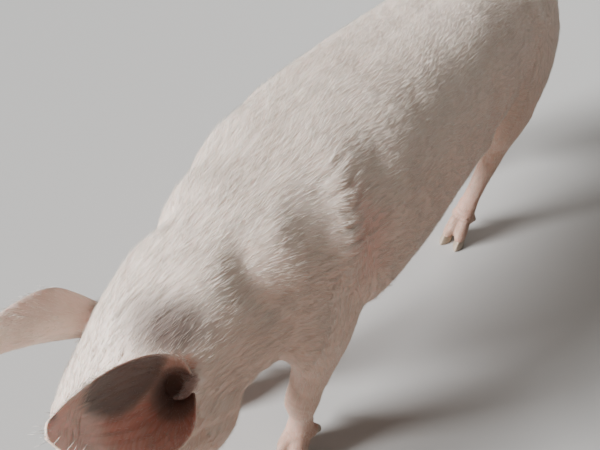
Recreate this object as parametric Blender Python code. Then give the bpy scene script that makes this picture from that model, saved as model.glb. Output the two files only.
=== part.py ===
# A domestic pig, life size, standing still with its head lowered.
# Metres. +X runs towards the head, +Y to the animal's left, +Z up; the soles stand on z = 0.
# The flesh is modelled whole, from tubes carried along the trunk, head and legs, and is then
# parted with thin cuts into named pieces. Horn, eyes, ears, snout and tail are pieces of their own.
import math

import bmesh
import bpy
import numpy as np
from mathutils import Matrix, Vector
from mathutils.bvhtree import BVHTree

# Parting gap between neighbours
GAP = 0.0003

# Fineness of the fused flesh and of what is kept of it
BROAD_VOXEL = 0.0080
FINE_VOXEL = 0.0035
BROAD_SMOOTHING = 14
FINE_SMOOTHING = 3
FLESH_TRIANGLES = 7000

# Where the feet stand, along the body and to each side of its middle
FORE_FOOT_X = 0.012
FORE_FOOT_Y = 0.086
LEFT_HIND_FOOT_X = -0.630
RIGHT_HIND_FOOT_X = -0.700
HIND_FOOT_Y = 0.102

# The trunk and neck, from the rump to inside the head. A ring stands at x, y and z, leans forward
# by its tilt in degrees, and has a half width, a height above and a height below its widest level.
TRUNK_RINGS = (
    (-0.940, 0.000, 0.462, -10, 0.030, 0.040, 0.040),
    (-0.922, 0.000, 0.455, -8, 0.078, 0.083, 0.085),
    (-0.870, 0.000, 0.448, -4, 0.116, 0.124, 0.118),
    (-0.760, 0.000, 0.440, -2, 0.132, 0.160, 0.135),
    (-0.620, 0.000, 0.432, 0, 0.136, 0.184, 0.152),
    (-0.480, 0.000, 0.428, 0, 0.144, 0.194, 0.176),
    (-0.340, 0.000, 0.425, 0, 0.151, 0.199, 0.186),
    (-0.200, 0.000, 0.427, 0, 0.154, 0.200, 0.182),
    (-0.085, 0.000, 0.432, 0, 0.147, 0.190, 0.168),
    (0.020, -0.001, 0.432, 6, 0.114, 0.165, 0.150),
    (0.095, -0.006, 0.420, 18, 0.098, 0.147, 0.134),
    (0.147, -0.011, 0.398, 32, 0.092, 0.136, 0.126),
    (0.184, -0.016, 0.364, 46, 0.085, 0.122, 0.108),
    (0.206, -0.020, 0.328, 58, 0.074, 0.102, 0.080),
)
TRUNK_SQUARENESS = 2.3

# The head hangs from the poll. Its own axes are "along" (poll to snout), "dorsal" (out of the
# forehead) and "left".
POLL = (0.250, -0.020, 0.470)
HEAD_PITCH = 60
HEAD_YAW = -11

# Rings of the head: distance along the face, height of the face line, depth of the jaw line below
# it, half width at the widest level, and how far down that level lies.
HEAD_RINGS = (
    (-0.045, -0.045, -0.150, 0.052, 0.50),
    (-0.012, -0.008, -0.184, 0.076, 0.46),
    (0.032, 0.007, -0.196, 0.090, 0.48),
    (0.080, 0.011, -0.184, 0.092, 0.49),
    (0.122, 0.004, -0.157, 0.082, 0.46),
    (0.160, -0.009, -0.133, 0.067, 0.46),
    (0.200, -0.020, -0.117, 0.056, 0.50),
    (0.242, -0.024, -0.108, 0.050, 0.52),
    (0.278, -0.018, -0.100, 0.0475, 0.50),
    (0.309, -0.012, -0.091, 0.0455, 0.50),
)
HEAD_SQUARENESS = 2.3

# Swellings of the head: along, left, dorsal, and the three radii in that order
CHEEK = (0.066, 0.055, -0.124, 0.072, 0.043, 0.064)
BROW = (0.104, 0.051, -0.026, 0.042, 0.022, 0.020)
CHIN = (0.264, 0.000, -0.100, 0.036, 0.030, 0.017)

# Eye: the ball's centre in the head's own axes, the lids that wrap it, and their opening in degrees
EYE_PLACE = (0.127, 0.0630, -0.044)
EYE_RADIUS = 0.0120
LID_THICKNESS = 0.0034
LID_OPENING = 60
EYE_SLANT = 12
LID_OUTSET = 0.0012
LID_CUT_REACH = 0.040

# Snout disc and nostrils
SNOUT_ALONG = 0.318
SNOUT_DORSAL = -0.052
SNOUT_HALF_WIDTH = 0.0410
SNOUT_HALF_HEIGHT = 0.0345
SNOUT_THICKNESS = 0.018
SNOUT_TILT = -8
SNOUT_SQUARENESS = 2.15
SNOUT_LOWER_SHARE = 0.92
# The disc from back to front: share of the thickness behind its face, and share of its full size
SNOUT_ROWS = ((1.0, 0.84), (0.62, 0.93), (0.30, 0.985), (0.167, 1.0), (0.056, 0.975), (0.0, 0.91))
NOSTRIL_SPREAD = 0.0150
NOSTRIL_RADII = (0.0062, 0.0086)
NOSTRIL_RAISE = 0.002
NOSTRIL_LEAN = 24
# A nostril from its bottom outwards: place along it and share of its full size
NOSTRIL_ROWS = ((-0.011, 0.62), (-0.0055, 0.86), (0.0, 1.0), (0.010, 1.1))

# Mouth line, as along and dorsal places from under the snout to the corner
MOUTH_LINE = ((0.300, -0.080), (0.262, -0.087), (0.222, -0.090), (0.186, -0.094), (0.160, -0.090))
MOUTH_GROOVE = 0.0024

# Ears: an ear is a scoop. Its rows give the place along it, its half width round the curve, and
# how far it is rolled to each side, in degrees.
EAR_LENGTH = 0.176
EAR_ROWS = (
    (0.00, 0.052, 152),
    (0.12, 0.062, 134),
    (0.28, 0.069, 102),
    (0.46, 0.064, 76),
    (0.64, 0.053, 62),
    (0.80, 0.038, 50),
    (0.92, 0.022, 36),
    (1.00, 0.007, 22),
)
EAR_ROOT_THICKNESS = 0.0060
EAR_TIP_THICKNESS = 0.0030
LEFT_EAR_ROOT = (-0.012, 0.054, -0.040)
RIGHT_EAR_ROOT = (0.001, -0.057, -0.042)

# Ear directions in the head's axes: where the root and the tip point, and where the scoop opens at
# the root and at the tip
LEFT_EAR = ((-0.31, 0.40, 0.86), (-0.28, 0.02, 0.98), (-0.66, 0.75, 0.0), (-0.66, 0.75, 0.0))
RIGHT_EAR = ((0.15, -0.42, 0.88), (0.85, -0.35, 0.70), (-0.22, -0.98, 0.0), (-0.75, -0.65, 0.2))

# Legs: rings at x (from the foot), y (from the foot's side line) and z, with a half depth along
# the body and a half width across it
FORE_LEG_RINGS = (
    (-0.095, -0.034, 0.560, 0.050, 0.026),
    (-0.082, -0.018, 0.505, 0.088, 0.040),
    (-0.056, -0.008, 0.435, 0.104, 0.050),
    (-0.040, 0.000, 0.370, 0.092, 0.049),
    (-0.037, 0.004, 0.310, 0.068, 0.042),
    (-0.030, 0.006, 0.258, 0.045, 0.034),
    (-0.014, 0.004, 0.208, 0.0330, 0.0285),
    (-0.004, 0.002, 0.168, 0.0310, 0.0290),
    (-0.006, 0.001, 0.130, 0.0240, 0.0225),
    (-0.008, 0.000, 0.095, 0.0230, 0.0220),
    (-0.006, 0.000, 0.068, 0.0265, 0.0265),
    (0.000, 0.000, 0.048, 0.0220, 0.0250),
)
HIND_LEG_RINGS = (
    (-0.125, -0.046, 0.560, 0.070, 0.030),
    (-0.112, -0.030, 0.505, 0.122, 0.046),
    (-0.104, -0.014, 0.440, 0.148, 0.054),
    (-0.098, -0.002, 0.375, 0.136, 0.054),
    (-0.096, 0.005, 0.320, 0.106, 0.048),
    (-0.100, 0.008, 0.270, 0.070, 0.040),
    (-0.106, 0.006, 0.228, 0.045, 0.0305),
    (-0.094, 0.004, 0.186, 0.0330, 0.0260),
    (-0.063, 0.002, 0.140, 0.0260, 0.0230),
    (-0.034, 0.000, 0.100, 0.0245, 0.0225),
    (-0.015, 0.000, 0.070, 0.0275, 0.0265),
    (-0.004, 0.000, 0.048, 0.0220, 0.0250),
)
# The hams stay with the pelvis: above this level a hind leg no longer follows its foot, and below
# the lower one it follows it wholly
HIP_X = -0.672
HIP_LEVEL = 0.40
HOCK_LEVEL = 0.24
HOCK_POINT = (-0.138, 0.006, 0.242)
HOCK_RADII = (0.016, 0.013, 0.026)

# Claws and dewclaws
CLAW_SPREAD = 0.0150
CLAW_LENGTH = 0.053
CLAW_WIDTH = 0.0255
CLAW_SPLAY = 7
CLAW_AHEAD = 0.016
CLAW_HEEL_SHARE = 0.80
CLAW_POINT_SHARE = 0.42
CLAW_INNER_SHARE = 0.86
CLAW_TOP_DROP = 0.012
# Levels of a claw: height, share of its full size, and how far back the level is set
CLAW_LEVELS = ((0.0, 0.94, 0.0), (0.004, 1.0, 0.0), (0.018, 0.90, 0.004), (0.033, 0.74, 0.009))
TOE_ROOT = (-0.008, 0.072)
TOE_LEAN = 27
TOE_LENGTH = 0.062
# A toe starts at this share of the claws' spread and ends at the whole of it
TOE_START_SHARE = 0.55
# Rows down a toe: share of its length, half depth and half width
TOE_RINGS = (
    (0.00, 0.0120, 0.0100),
    (0.20, 0.0185, 0.0135),
    (0.50, 0.0215, 0.0140),
    (0.80, 0.0205, 0.0132),
    (1.00, 0.0150, 0.0095),
)
DEWCLAW_BACK = 0.021
DEWCLAW_SPREAD = 0.0185
DEWCLAW_LENGTH = 0.026
DEWCLAW_RADIUS = 0.0085
DEWCLAW_LEVEL = 0.064
DEWCLAW_WAY = (-0.62, 0.10, -0.78)
# Places down a dewclaw and the share of its full radius there
DEWCLAW_ROWS = ((0.0, 0.95), (0.35, 1.0), (0.65, 0.86), (0.88, 0.58), (1.0, 0.26))
DEWCLAW_FLATNESS = 0.8
# Fleshy stub that a dewclaw grows from: how far it stands ahead and below, and its radii
STUB_OFFSET = (0.002, -0.002)
STUB_RADII = (0.014, 0.0095, 0.015)

# Tail: a tapering tube that leaves the rump straight and then winds like a corkscrew
TAIL_ROOT = (-0.912, 0.0, 0.528)
TAIL_ROOT_RADIUS = 0.0140
TAIL_TIP_RADIUS = 0.0045
TAIL_REACH = 0.135
TAIL_SLOPE = 30
TAIL_CURL_RADIUS = 0.030
TAIL_CURL_TURNS = 1.65
# Share of the tail over which it winds out to its full curl
TAIL_OPENING_SHARE = 0.55

# Parting: leg tops with the reach of each leg cell along the body, and the planes at the back and
# front of the neck, each by a point and a lean forward in degrees
FORE_LEG_TOP = 0.258
FORE_CELL = (-0.105, 0.12)
HIND_LEG_TOP = 0.268
HIND_CELL = (-1.00, -0.60)
NECK_BACK = (0.036, 0.0, 0.440)
NECK_BACK_LEAN = -11
NECK_FRONT = (0.184, 0.0, 0.450)
NECK_FRONT_LEAN = 33

# Rings along the trunk, the head and a leg, and points round a tube
TRUNK_COUNT = 54
HEAD_COUNT = 36
LEG_COUNT = 40
EAR_COUNT = 15
EAR_ACROSS = 11
TAIL_COUNT = 34
ROUND = 28

# How full the rings of the legs are in their corners: 2 is a plain oval
LEG_SQUARENESS = 2.2

SKIN_COLOUR = (0.80, 0.66, 0.60, 1.0)
EAR_COLOUR = (0.78, 0.58, 0.53, 1.0)
SNOUT_COLOUR = (0.72, 0.45, 0.42, 1.0)
HORN_COLOUR = (0.55, 0.47, 0.38, 1.0)
EYE_COLOUR = (0.05, 0.03, 0.02, 1.0)


def clear_scene():
    for old in list(bpy.data.objects):
        bpy.data.objects.remove(old)


def material(name, colour, roughness):
    made = bpy.data.materials.get(name) or bpy.data.materials.new(name)
    made.use_nodes = True
    shader = made.node_tree.nodes["Principled BSDF"]
    shader.inputs["Base Color"].default_value = colour
    shader.inputs["Roughness"].default_value = roughness
    shader.inputs["Metallic"].default_value = 0.0
    return made


def mesh_object(name, points, faces):
    """A closed mesh object with its faces pointing out."""
    mesh = bpy.data.meshes.new(name)
    mesh.from_pydata([tuple(p) for p in points], [], [tuple(f) for f in faces])
    work = bmesh.new()
    work.from_mesh(mesh)
    bmesh.ops.recalc_face_normals(work, faces=work.faces)
    work.to_mesh(mesh)
    work.free()
    made = bpy.data.objects.new(name, mesh)
    bpy.context.scene.collection.objects.link(made)
    return made


def through(rows, count):
    """Rows read at even steps from a cubic curve through the given rows."""
    rows = np.asarray(rows, float)
    slopes = np.gradient(rows, axis=0)
    place = np.linspace(0, len(rows) - 1, count)
    low = np.minimum(place.astype(int), len(rows) - 2)
    u = (place - low)[:, None]
    start = (2 * u**3 - 3 * u**2 + 1) * rows[low] + (u**3 - 2 * u**2 + u) * slopes[low]
    end = (3 * u**2 - 2 * u**3) * rows[low + 1] + (u**3 - u**2) * slopes[low + 1]
    return start + end


def ring(centre, side, up, half_width, above, below, squareness=2.0, count=ROUND):
    """Points of an oval ring: round at squareness 2, fuller in the corners above it."""
    angle = np.linspace(0, 2 * math.pi, count, endpoint=False)
    c, s = np.cos(angle), np.sin(angle)
    across = half_width * np.sign(c) * np.abs(c) ** (2 / squareness)
    height = np.where(s > 0, above, below) * np.sign(s) * np.abs(s) ** (2 / squareness)
    return np.asarray(centre) + np.outer(across, side) + np.outer(height, up)


def tube(name, rings):
    """A closed tube through rings of equally many points, with a flat cap at each end."""
    count = len(rings[0])
    faces = [list(range(count)), [len(rings) * count - 1 - i for i in range(count)]]
    for level in range(len(rings) - 1):
        for i in range(count):
            j = (i + 1) % count
            low, high = level * count, (level + 1) * count
            faces.append([low + i, low + j, high + j, high + i])
    return mesh_object(name, np.concatenate(rings), faces)


def ball(name, centre, axes, radii, segments=16, rings=10):
    """An ellipsoid with its radii along the three given axes."""
    work = bmesh.new()
    bmesh.ops.create_uvsphere(work, u_segments=segments, v_segments=rings, radius=1)
    points = np.array([v.co for v in work.verts])
    faces = [[v.index for v in f.verts] for f in work.faces]
    work.free()
    placed = np.asarray(centre) + (points * np.asarray(radii)) @ np.asarray(axes)
    return mesh_object(name, placed, faces)


def head_axes():
    """The head's three unit vectors in the body's frame, as rows: along, left, dorsal."""
    turn = (
        Matrix.Rotation(math.radians(HEAD_YAW), 3, "Z")
        @ Matrix.Rotation(math.radians(HEAD_PITCH), 3, "Y")
    )
    return np.array(turn.transposed())


def head_point(along, left, dorsal):
    return np.asarray(POLL) + np.array([along, left, dorsal]) @ head_axes()


def trunk():
    rings = []
    for x, y, z, tilt, half_width, above, below in through(TRUNK_RINGS, TRUNK_COUNT):
        lean = math.radians(tilt)
        up = (math.sin(lean), 0, math.cos(lean))
        rings.append(
            ring((x, y, z), (0, 1, 0), up, half_width, above, below, TRUNK_SQUARENESS)
        )
    return tube("trunk", rings)


def skull():
    along, left, dorsal = head_axes()
    rings = []
    for place, top, bottom, half_width, level in through(HEAD_RINGS, HEAD_COUNT):
        depth = top - bottom
        centre = head_point(place, 0, top - level * depth)
        rings.append(
            ring(
                centre,
                left,
                dorsal,
                half_width,
                level * depth,
                (1 - level) * depth,
                HEAD_SQUARENESS,
            )
        )
    return tube("skull", rings)


def swelling(name, sizes, side=1):
    along, left, dorsal = sizes[:3]
    return ball(name, head_point(along, side * left, dorsal), head_axes(), sizes[3:])


def followed(name, foot_x, level):
    """Where along the body a level of a leg belongs: over its foot, or with the pelvis."""
    if "fore" in name:
        return foot_x
    share = min(max((level - HOCK_LEVEL) / (HIP_LEVEL - HOCK_LEVEL), 0.0), 1.0)
    share = share * share * (3 - 2 * share)
    return foot_x + (HIP_X - foot_x) * share


def leg(name, rings, foot_x, foot_y, side):
    made = []
    for x, y, z, half_depth, half_width in through(rings, LEG_COUNT):
        centre = (followed(name, foot_x, z) + x, side * (foot_y + y), z)
        sizes = (half_depth, half_width, half_width, LEG_SQUARENESS)
        made.append(ring(centre, (1, 0, 0), (0, 1, 0), *sizes))
    return tube(name, made)


def feet():
    """Name, foot place, side and the leg's rings of each leg."""
    return (
        ("fore_leg_left", FORE_FOOT_X, FORE_FOOT_Y, 1, FORE_LEG_RINGS),
        ("fore_leg_right", FORE_FOOT_X, FORE_FOOT_Y, -1, FORE_LEG_RINGS),
        ("hind_leg_left", LEFT_HIND_FOOT_X, HIND_FOOT_Y, 1, HIND_LEG_RINGS),
        ("hind_leg_right", RIGHT_HIND_FOOT_X, HIND_FOOT_Y, -1, HIND_LEG_RINGS),
    )


def toes(foot_x, foot_y):
    """The two fleshy toes of a foot and the stubs that its dewclaws grow from."""
    made = []
    lean = math.radians(TOE_LEAN)
    ahead = np.array((math.sin(lean), 0.0, -math.cos(lean)))
    over = np.array((math.cos(lean), 0.0, math.sin(lean)))
    for inner in (-1, 1):
        rings = []
        for step, depth, width in TOE_RINGS:
            spread = inner * CLAW_SPREAD * (TOE_START_SHARE + (1 - TOE_START_SHARE) * step)
            centre = np.array((foot_x + TOE_ROOT[0], foot_y + spread, TOE_ROOT[1]))
            centre = centre + ahead * step * TOE_LENGTH
            rings.append(ring(centre, over, (0, 1, 0), depth, width, width, LEG_SQUARENESS, 16))
        made.append(tube("toe", rings))
        y = foot_y + inner * DEWCLAW_SPREAD
        stub = (foot_x - DEWCLAW_BACK + STUB_OFFSET[0], y, DEWCLAW_LEVEL + STUB_OFFSET[1])
        made.append(ball("stub", stub, np.eye(3), STUB_RADII))
    return made


def evaluated(thing, name):
    """A new object holding the mesh of a thing with its modifiers applied; the thing is removed."""
    bpy.context.view_layer.update()
    graph = bpy.context.evaluated_depsgraph_get()
    mesh = bpy.data.meshes.new_from_object(thing.evaluated_get(graph))
    bpy.data.objects.remove(thing)
    made = bpy.data.objects.new(name, mesh)
    mesh.name = name
    bpy.context.scene.collection.objects.link(made)
    return made


def joined(name, things):
    """One object holding the meshes of several, which are removed."""
    work = bmesh.new()
    for thing in things:
        work.from_mesh(thing.data)
        bpy.data.objects.remove(thing)
    mesh = bpy.data.meshes.new(name)
    work.to_mesh(mesh)
    work.free()
    made = bpy.data.objects.new(name, mesh)
    bpy.context.scene.collection.objects.link(made)
    return made


def fused(thing, voxel, smoothing):
    """Overlapping closed tubes made one skin, with their creases smoothed."""
    remesh = thing.modifiers.new("fuse", "REMESH")
    remesh.mode = "VOXEL"
    remesh.voxel_size = voxel
    smooth = thing.modifiers.new("smooth", "SMOOTH")
    smooth.factor = 0.5
    smooth.iterations = smoothing
    return evaluated(thing, thing.name)


def thinned(thing, triangles):
    """The same closed surface in about so many triangles."""
    thing.data.calc_loop_triangles()
    thin = thing.modifiers.new("thin", "DECIMATE")
    thin.ratio = triangles / len(thing.data.loop_triangles)
    thin.use_collapse_triangulate = True
    return evaluated(thing, thing.name)


def flesh():
    """The whole fleshy animal as one closed surface."""
    parts = [trunk(), skull()]
    for side in (-1, 1):
        parts.append(swelling("cheek", CHEEK, side))
    for name, foot_x, foot_y, side, rings in feet():
        parts.append(leg(name, rings, foot_x, foot_y, side))
        if "hind" in name:
            x, y, z = HOCK_POINT
            place = (foot_x + x, side * (foot_y + y), z)
            parts.append(ball("hock", place, np.eye(3), HOCK_RADII))
    broad = fused(joined("flesh", parts), BROAD_VOXEL, BROAD_SMOOTHING)
    details = [broad, swelling("chin", CHIN)]
    for side in (-1, 1):
        details.append(swelling("brow", BROW, side))
    for name, foot_x, foot_y, side, rings in feet():
        details.extend(toes(foot_x, side * foot_y))
    whole = fused(joined("flesh", details), FINE_VOXEL, FINE_SMOOTHING)
    return thinned(whole, FLESH_TRIANGLES)


def inflated(thing, name, depth):
    """A copy of a closed mesh with its surface moved outwards."""
    mesh = thing.data.copy()
    work = bmesh.new()
    work.from_mesh(mesh)
    work.normal_update()
    for vertex in work.verts:
        vertex.co += vertex.normal * depth
    work.to_mesh(mesh)
    work.free()
    made = bpy.data.objects.new(name, mesh)
    bpy.context.scene.collection.objects.link(made)
    return made


def combined(thing, operation, others):
    """A thing after a Boolean with each of the others in turn; the others are removed."""
    name = thing.name
    for other in others:
        step = thing.modifiers.new("step", "BOOLEAN")
        step.operation = operation
        step.solver = "EXACT"
        step.object = other
        thing = evaluated(thing, name)
        bpy.data.objects.remove(other)
        thing.name = name
    return thing


def duplicate(thing, name):
    made = bpy.data.objects.new(name, thing.data.copy())
    bpy.context.scene.collection.objects.link(made)
    return made


def largest(thing):
    """Keeps only the largest closed surface of a mesh."""
    work = bmesh.new()
    work.from_mesh(thing.data)
    work.verts.ensure_lookup_table()
    seen = set()
    shells = []
    for start in work.verts:
        if start.index in seen:
            continue
        seen.add(start.index)
        shell = [start]
        for vertex in shell:
            for edge in vertex.link_edges:
                near = edge.other_vert(vertex)
                if near.index not in seen:
                    seen.add(near.index)
                    shell.append(near)
        shells.append(shell)
    shells.sort(key=len)
    for shell in shells[:-1]:
        bmesh.ops.delete(work, geom=shell, context="VERTS")
    work.to_mesh(thing.data)
    work.free()
    return thing


def block(name, low, high):
    """A box between two corners."""
    ends = list(zip(low, high))
    corners = [(x, y, z) for x in ends[0] for y in ends[1] for z in ends[2]]
    faces = [(0, 1, 3, 2), (4, 6, 7, 5), (0, 4, 5, 1), (2, 3, 7, 6), (0, 2, 6, 4), (1, 5, 7, 3)]
    return mesh_object(name, corners, faces)


def half_space(name, point, lean, side):
    """A large box in front of (+1) or behind (-1) a leaning plane, half the gap away from it."""
    near, far = (GAP / 2, 2.0) if side > 0 else (-2.0, -GAP / 2)
    made = block(name, (near, -1.0, -1.5), (far, 1.0, 1.5))
    turn = Matrix.Translation(Vector(point)) @ Matrix.Rotation(math.radians(lean), 4, "Y")
    made.data.transform(turn)
    return made


def eyeball(name, side, radius):
    along, left, dorsal = EYE_PLACE
    return ball(name, head_point(along, side * left, dorsal), head_axes(), (radius,) * 3, 18, 12)


def lid_opening(side):
    """A wedge that opens the lids from the middle of the eyeball outwards."""
    along, left, dorsal = EYE_PLACE
    slant = math.radians(EYE_SLANT)
    axes = head_axes()
    long_way = math.cos(slant) * axes[0] + math.sin(slant) * axes[2]
    across = math.cos(slant) * axes[2] - math.sin(slant) * axes[0]
    out = side * axes[1]
    middle = head_point(along, side * (left + LID_OUTSET), dorsal)
    half = math.radians(LID_OPENING / 2)
    points = []
    for end in (-1, 1):
        foot = middle + long_way * end * (EYE_RADIUS + LID_THICKNESS)
        points.append(foot)
        points.append(foot + (out * math.cos(half) + across * math.sin(half)) * LID_CUT_REACH)
        points.append(foot + (out * math.cos(half) - across * math.sin(half)) * LID_CUT_REACH)
    faces = [(0, 1, 2), (3, 5, 4), (0, 3, 4, 1), (1, 4, 5, 2), (2, 5, 3, 0)]
    return mesh_object("lid_opening", points, faces)


def snout_disc(name, grow=0.0):
    """The flat disc at the end of the muzzle, rounded at its rim."""
    tilt = math.radians(SNOUT_TILT)
    axes = head_axes()
    face = math.cos(tilt) * axes[0] + math.sin(tilt) * axes[2]
    up = math.cos(tilt) * axes[2] - math.sin(tilt) * axes[0]
    front = head_point(SNOUT_ALONG, 0, SNOUT_DORSAL)
    rings = []
    for behind, size in SNOUT_ROWS:
        back = -grow if behind == 1 else grow if behind == 0 else 0
        centre = front + face * (back - behind * SNOUT_THICKNESS)
        width = SNOUT_HALF_WIDTH * size + grow
        height = SNOUT_HALF_HEIGHT * size + grow
        lower = height * SNOUT_LOWER_SHARE
        rings.append(ring(centre, axes[1], up, width, height, lower, SNOUT_SQUARENESS, 32))
    return tube(name, rings)


def nostril(side):
    tilt = math.radians(SNOUT_TILT)
    axes = head_axes()
    face = math.cos(tilt) * axes[0] + math.sin(tilt) * axes[2]
    up = math.cos(tilt) * axes[2] - math.sin(tilt) * axes[0]
    mouth = head_point(SNOUT_ALONG, side * NOSTRIL_SPREAD, SNOUT_DORSAL) + up * NOSTRIL_RAISE
    lean = math.radians(NOSTRIL_LEAN) * side
    wide = math.cos(lean) * axes[1] - math.sin(lean) * up
    high = math.cos(lean) * up + math.sin(lean) * axes[1]
    rings = []
    for step, size in NOSTRIL_ROWS:
        centre = mouth + face * step
        width, height = NOSTRIL_RADII[0] * size, NOSTRIL_RADII[1] * size
        rings.append(ring(centre, wide, high, width, height, height, 2.0, 16))
    return tube("nostril", rings)


def mouth_groove(side, surface):
    """A thin tube that follows the line of the lips over the given surface."""
    tree = BVHTree.FromPolygons(
        [v.co for v in surface.data.vertices], [list(p.vertices) for p in surface.data.polygons]
    )
    axes = head_axes()
    path = []
    for along, dorsal in through(MOUTH_LINE, 22):
        far = head_point(along, side * 0.2, dorsal)
        hit = tree.ray_cast(Vector(far), Vector(axes[1] * -side))[0]
        path.append(np.array(hit) if hit is not None else head_point(along, side * 0.02, dorsal))
    path = np.array(path)
    rings = []
    for i, place in enumerate(path):
        ahead = path[min(i + 1, len(path) - 1)] - path[max(i - 1, 0)]
        ahead = ahead / np.linalg.norm(ahead)
        wide = np.cross(ahead, axes[1])
        wide = wide / np.linalg.norm(wide)
        out = np.cross(wide, ahead)
        size = MOUTH_GROOVE * (1.0 if i < len(path) - 2 else 0.6)
        rings.append(ring(place, wide, out, size * 0.8, size, size * 1.25, 2.0, 8))
    return tube("mouth_groove", rings)


def ear(name, root, start, end, opening, tip_opening):
    """A scoop of skin and cartilage: rolled rows carried along a bending axis."""
    axes = head_axes()
    start = np.array(start) @ axes
    end = np.array(end) @ axes
    opening = np.array(opening) @ axes
    tip_opening = np.array(tip_opening) @ axes
    rows = through(EAR_ROWS, EAR_COUNT)
    place = head_point(*root)
    outer = []
    inner = []
    before = rows[0][0]
    for s, width, roll in rows:
        s = min(max(s, 0.0), 1.0)
        ahead = (1 - s) * start / np.linalg.norm(start) + s * end / np.linalg.norm(end)
        ahead = ahead / np.linalg.norm(ahead)
        place = place + ahead * (s - before) * EAR_LENGTH
        before = s
        open_way = (1 - s) * opening + s * tip_opening
        open_way = open_way - ahead * (open_way @ ahead)
        open_way = open_way / np.linalg.norm(open_way)
        wide = np.cross(ahead, open_way)
        half_roll = math.radians(roll)
        radius = width / half_roll
        thick = EAR_ROOT_THICKNESS * (1 - s) + EAR_TIP_THICKNESS * s
        for grid, size in ((outer, radius), (inner, radius - thick)):
            line = []
            for t in np.linspace(-1, 1, EAR_ACROSS):
                turn = half_roll * t
                edge = max(size, 0.2 * radius)
                line.append(
                    place
                    + open_way * (radius - edge * math.cos(turn))
                    + wide * edge * math.sin(turn)
                )
            grid.append(line)
    rings = []
    for out_line, in_line in zip(outer, inner):
        rings.append(np.array(out_line + in_line[::-1]))
    return tube(name, rings)


def claw(name, foot_x, foot_y, inner):
    """One pointed claw: flat sole, steep wall, flatter on the side next to its neighbour."""
    splay = math.radians(CLAW_SPLAY * inner)
    centre_y = foot_y + inner * CLAW_SPREAD
    turn = np.linspace(0, 2 * math.pi, 20, endpoint=False)
    c, s = np.cos(turn), np.sin(turn)
    front = np.where(c > 0, c, CLAW_HEEL_SHARE * c)
    narrow = 1 - CLAW_POINT_SHARE * np.maximum(c, 0) ** 2
    narrow = np.where(s * inner < 0, narrow * CLAW_INNER_SHARE, narrow)
    rings = []
    for height, size, back in CLAW_LEVELS:
        x = front * CLAW_LENGTH / 2 * size
        y = s * CLAW_WIDTH / 2 * narrow * size
        top = height == CLAW_LEVELS[-1][0]
        lift = height - CLAW_TOP_DROP * (0.5 - x / CLAW_LENGTH) * top
        across = centre_y + x * math.sin(splay) + y * math.cos(splay)
        along = foot_x + CLAW_AHEAD - back + x * math.cos(splay) - y * math.sin(splay)
        rings.append(np.stack([along, across, lift], 1))
    return tube(name, rings)


def dewclaw(name, foot_x, foot_y, inner):
    """A small blunt cone behind the foot."""
    ahead = np.array(DEWCLAW_WAY) * (1, inner, 1)
    ahead = ahead / np.linalg.norm(ahead)
    wide = np.array((0.0, 1.0, 0.0))
    wide = wide - ahead * (wide @ ahead)
    wide = wide / np.linalg.norm(wide)
    high = np.cross(wide, ahead)
    root = np.array((foot_x - DEWCLAW_BACK, foot_y + inner * DEWCLAW_SPREAD, DEWCLAW_LEVEL))
    rings = []
    for step, size in DEWCLAW_ROWS:
        centre = root + ahead * step * DEWCLAW_LENGTH
        radius = DEWCLAW_RADIUS * size
        rings.append(ring(centre, wide, high, radius, radius, radius * DEWCLAW_FLATNESS, 2.0, 12))
    return tube(name, rings)


def tail():
    """The tail winds round a line that slopes back and down from the rump."""
    slope = math.radians(TAIL_SLOPE)
    axis = np.array((-math.cos(slope), 0.0, -math.sin(slope)))
    across = np.array((0.0, 1.0, 0.0))
    under = np.array((math.sin(slope), 0.0, -math.cos(slope)))
    steps = np.linspace(0, 1, TAIL_COUNT)
    turn = 2 * math.pi * TAIL_CURL_TURNS * steps
    opening = np.clip(steps / TAIL_OPENING_SHARE, 0, 1)
    radius = TAIL_CURL_RADIUS * opening**2 * (3 - 2 * opening)
    reach = TAIL_REACH * (1.35 * steps - 0.35 * steps**2)
    path = (
        np.array(TAIL_ROOT)
        + np.outer(reach, axis)
        + np.outer(radius * np.cos(turn), -under)
        + np.outer(radius * np.sin(turn), across)
    )
    thick = TAIL_TIP_RADIUS + (TAIL_ROOT_RADIUS - TAIL_TIP_RADIUS) * (1 - steps) ** 1.1
    thick[-1] = thick[-1] * 0.5
    rings = []
    side = across
    for i, place in enumerate(path):
        ahead = path[min(i + 1, len(path) - 1)] - path[max(i - 1, 0)]
        ahead = ahead / np.linalg.norm(ahead)
        side = side - ahead * (side @ ahead)
        side = side / np.linalg.norm(side)
        up = np.cross(ahead, side)
        rings.append(ring(place, side, up, thick[i], thick[i], thick[i], 2.0, 10))
    return tube("tail", rings)


def dress(thing, label, colour, roughness, smooth):
    """Gives a node its one material and its shading."""
    thing.data.materials.clear()
    thing.data.materials.append(material(label, colour, roughness))
    thing.data.shade_flat()
    if smooth:
        thing.data.shade_smooth()
        thing.data.set_sharp_from_angle(angle=math.radians(42))


def centred(nodes):
    """Moves all nodes together, so that the middle of the underside of their box is the origin."""
    points = np.concatenate([np.array([v.co for v in node.data.vertices]) for node in nodes])
    low, high = points.min(axis=0), points.max(axis=0)
    shift = -Vector(((low[0] + high[0]) / 2, (low[1] + high[1]) / 2, low[2]))
    for node in nodes:
        node.data.transform(Matrix.Translation(shift))


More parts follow.
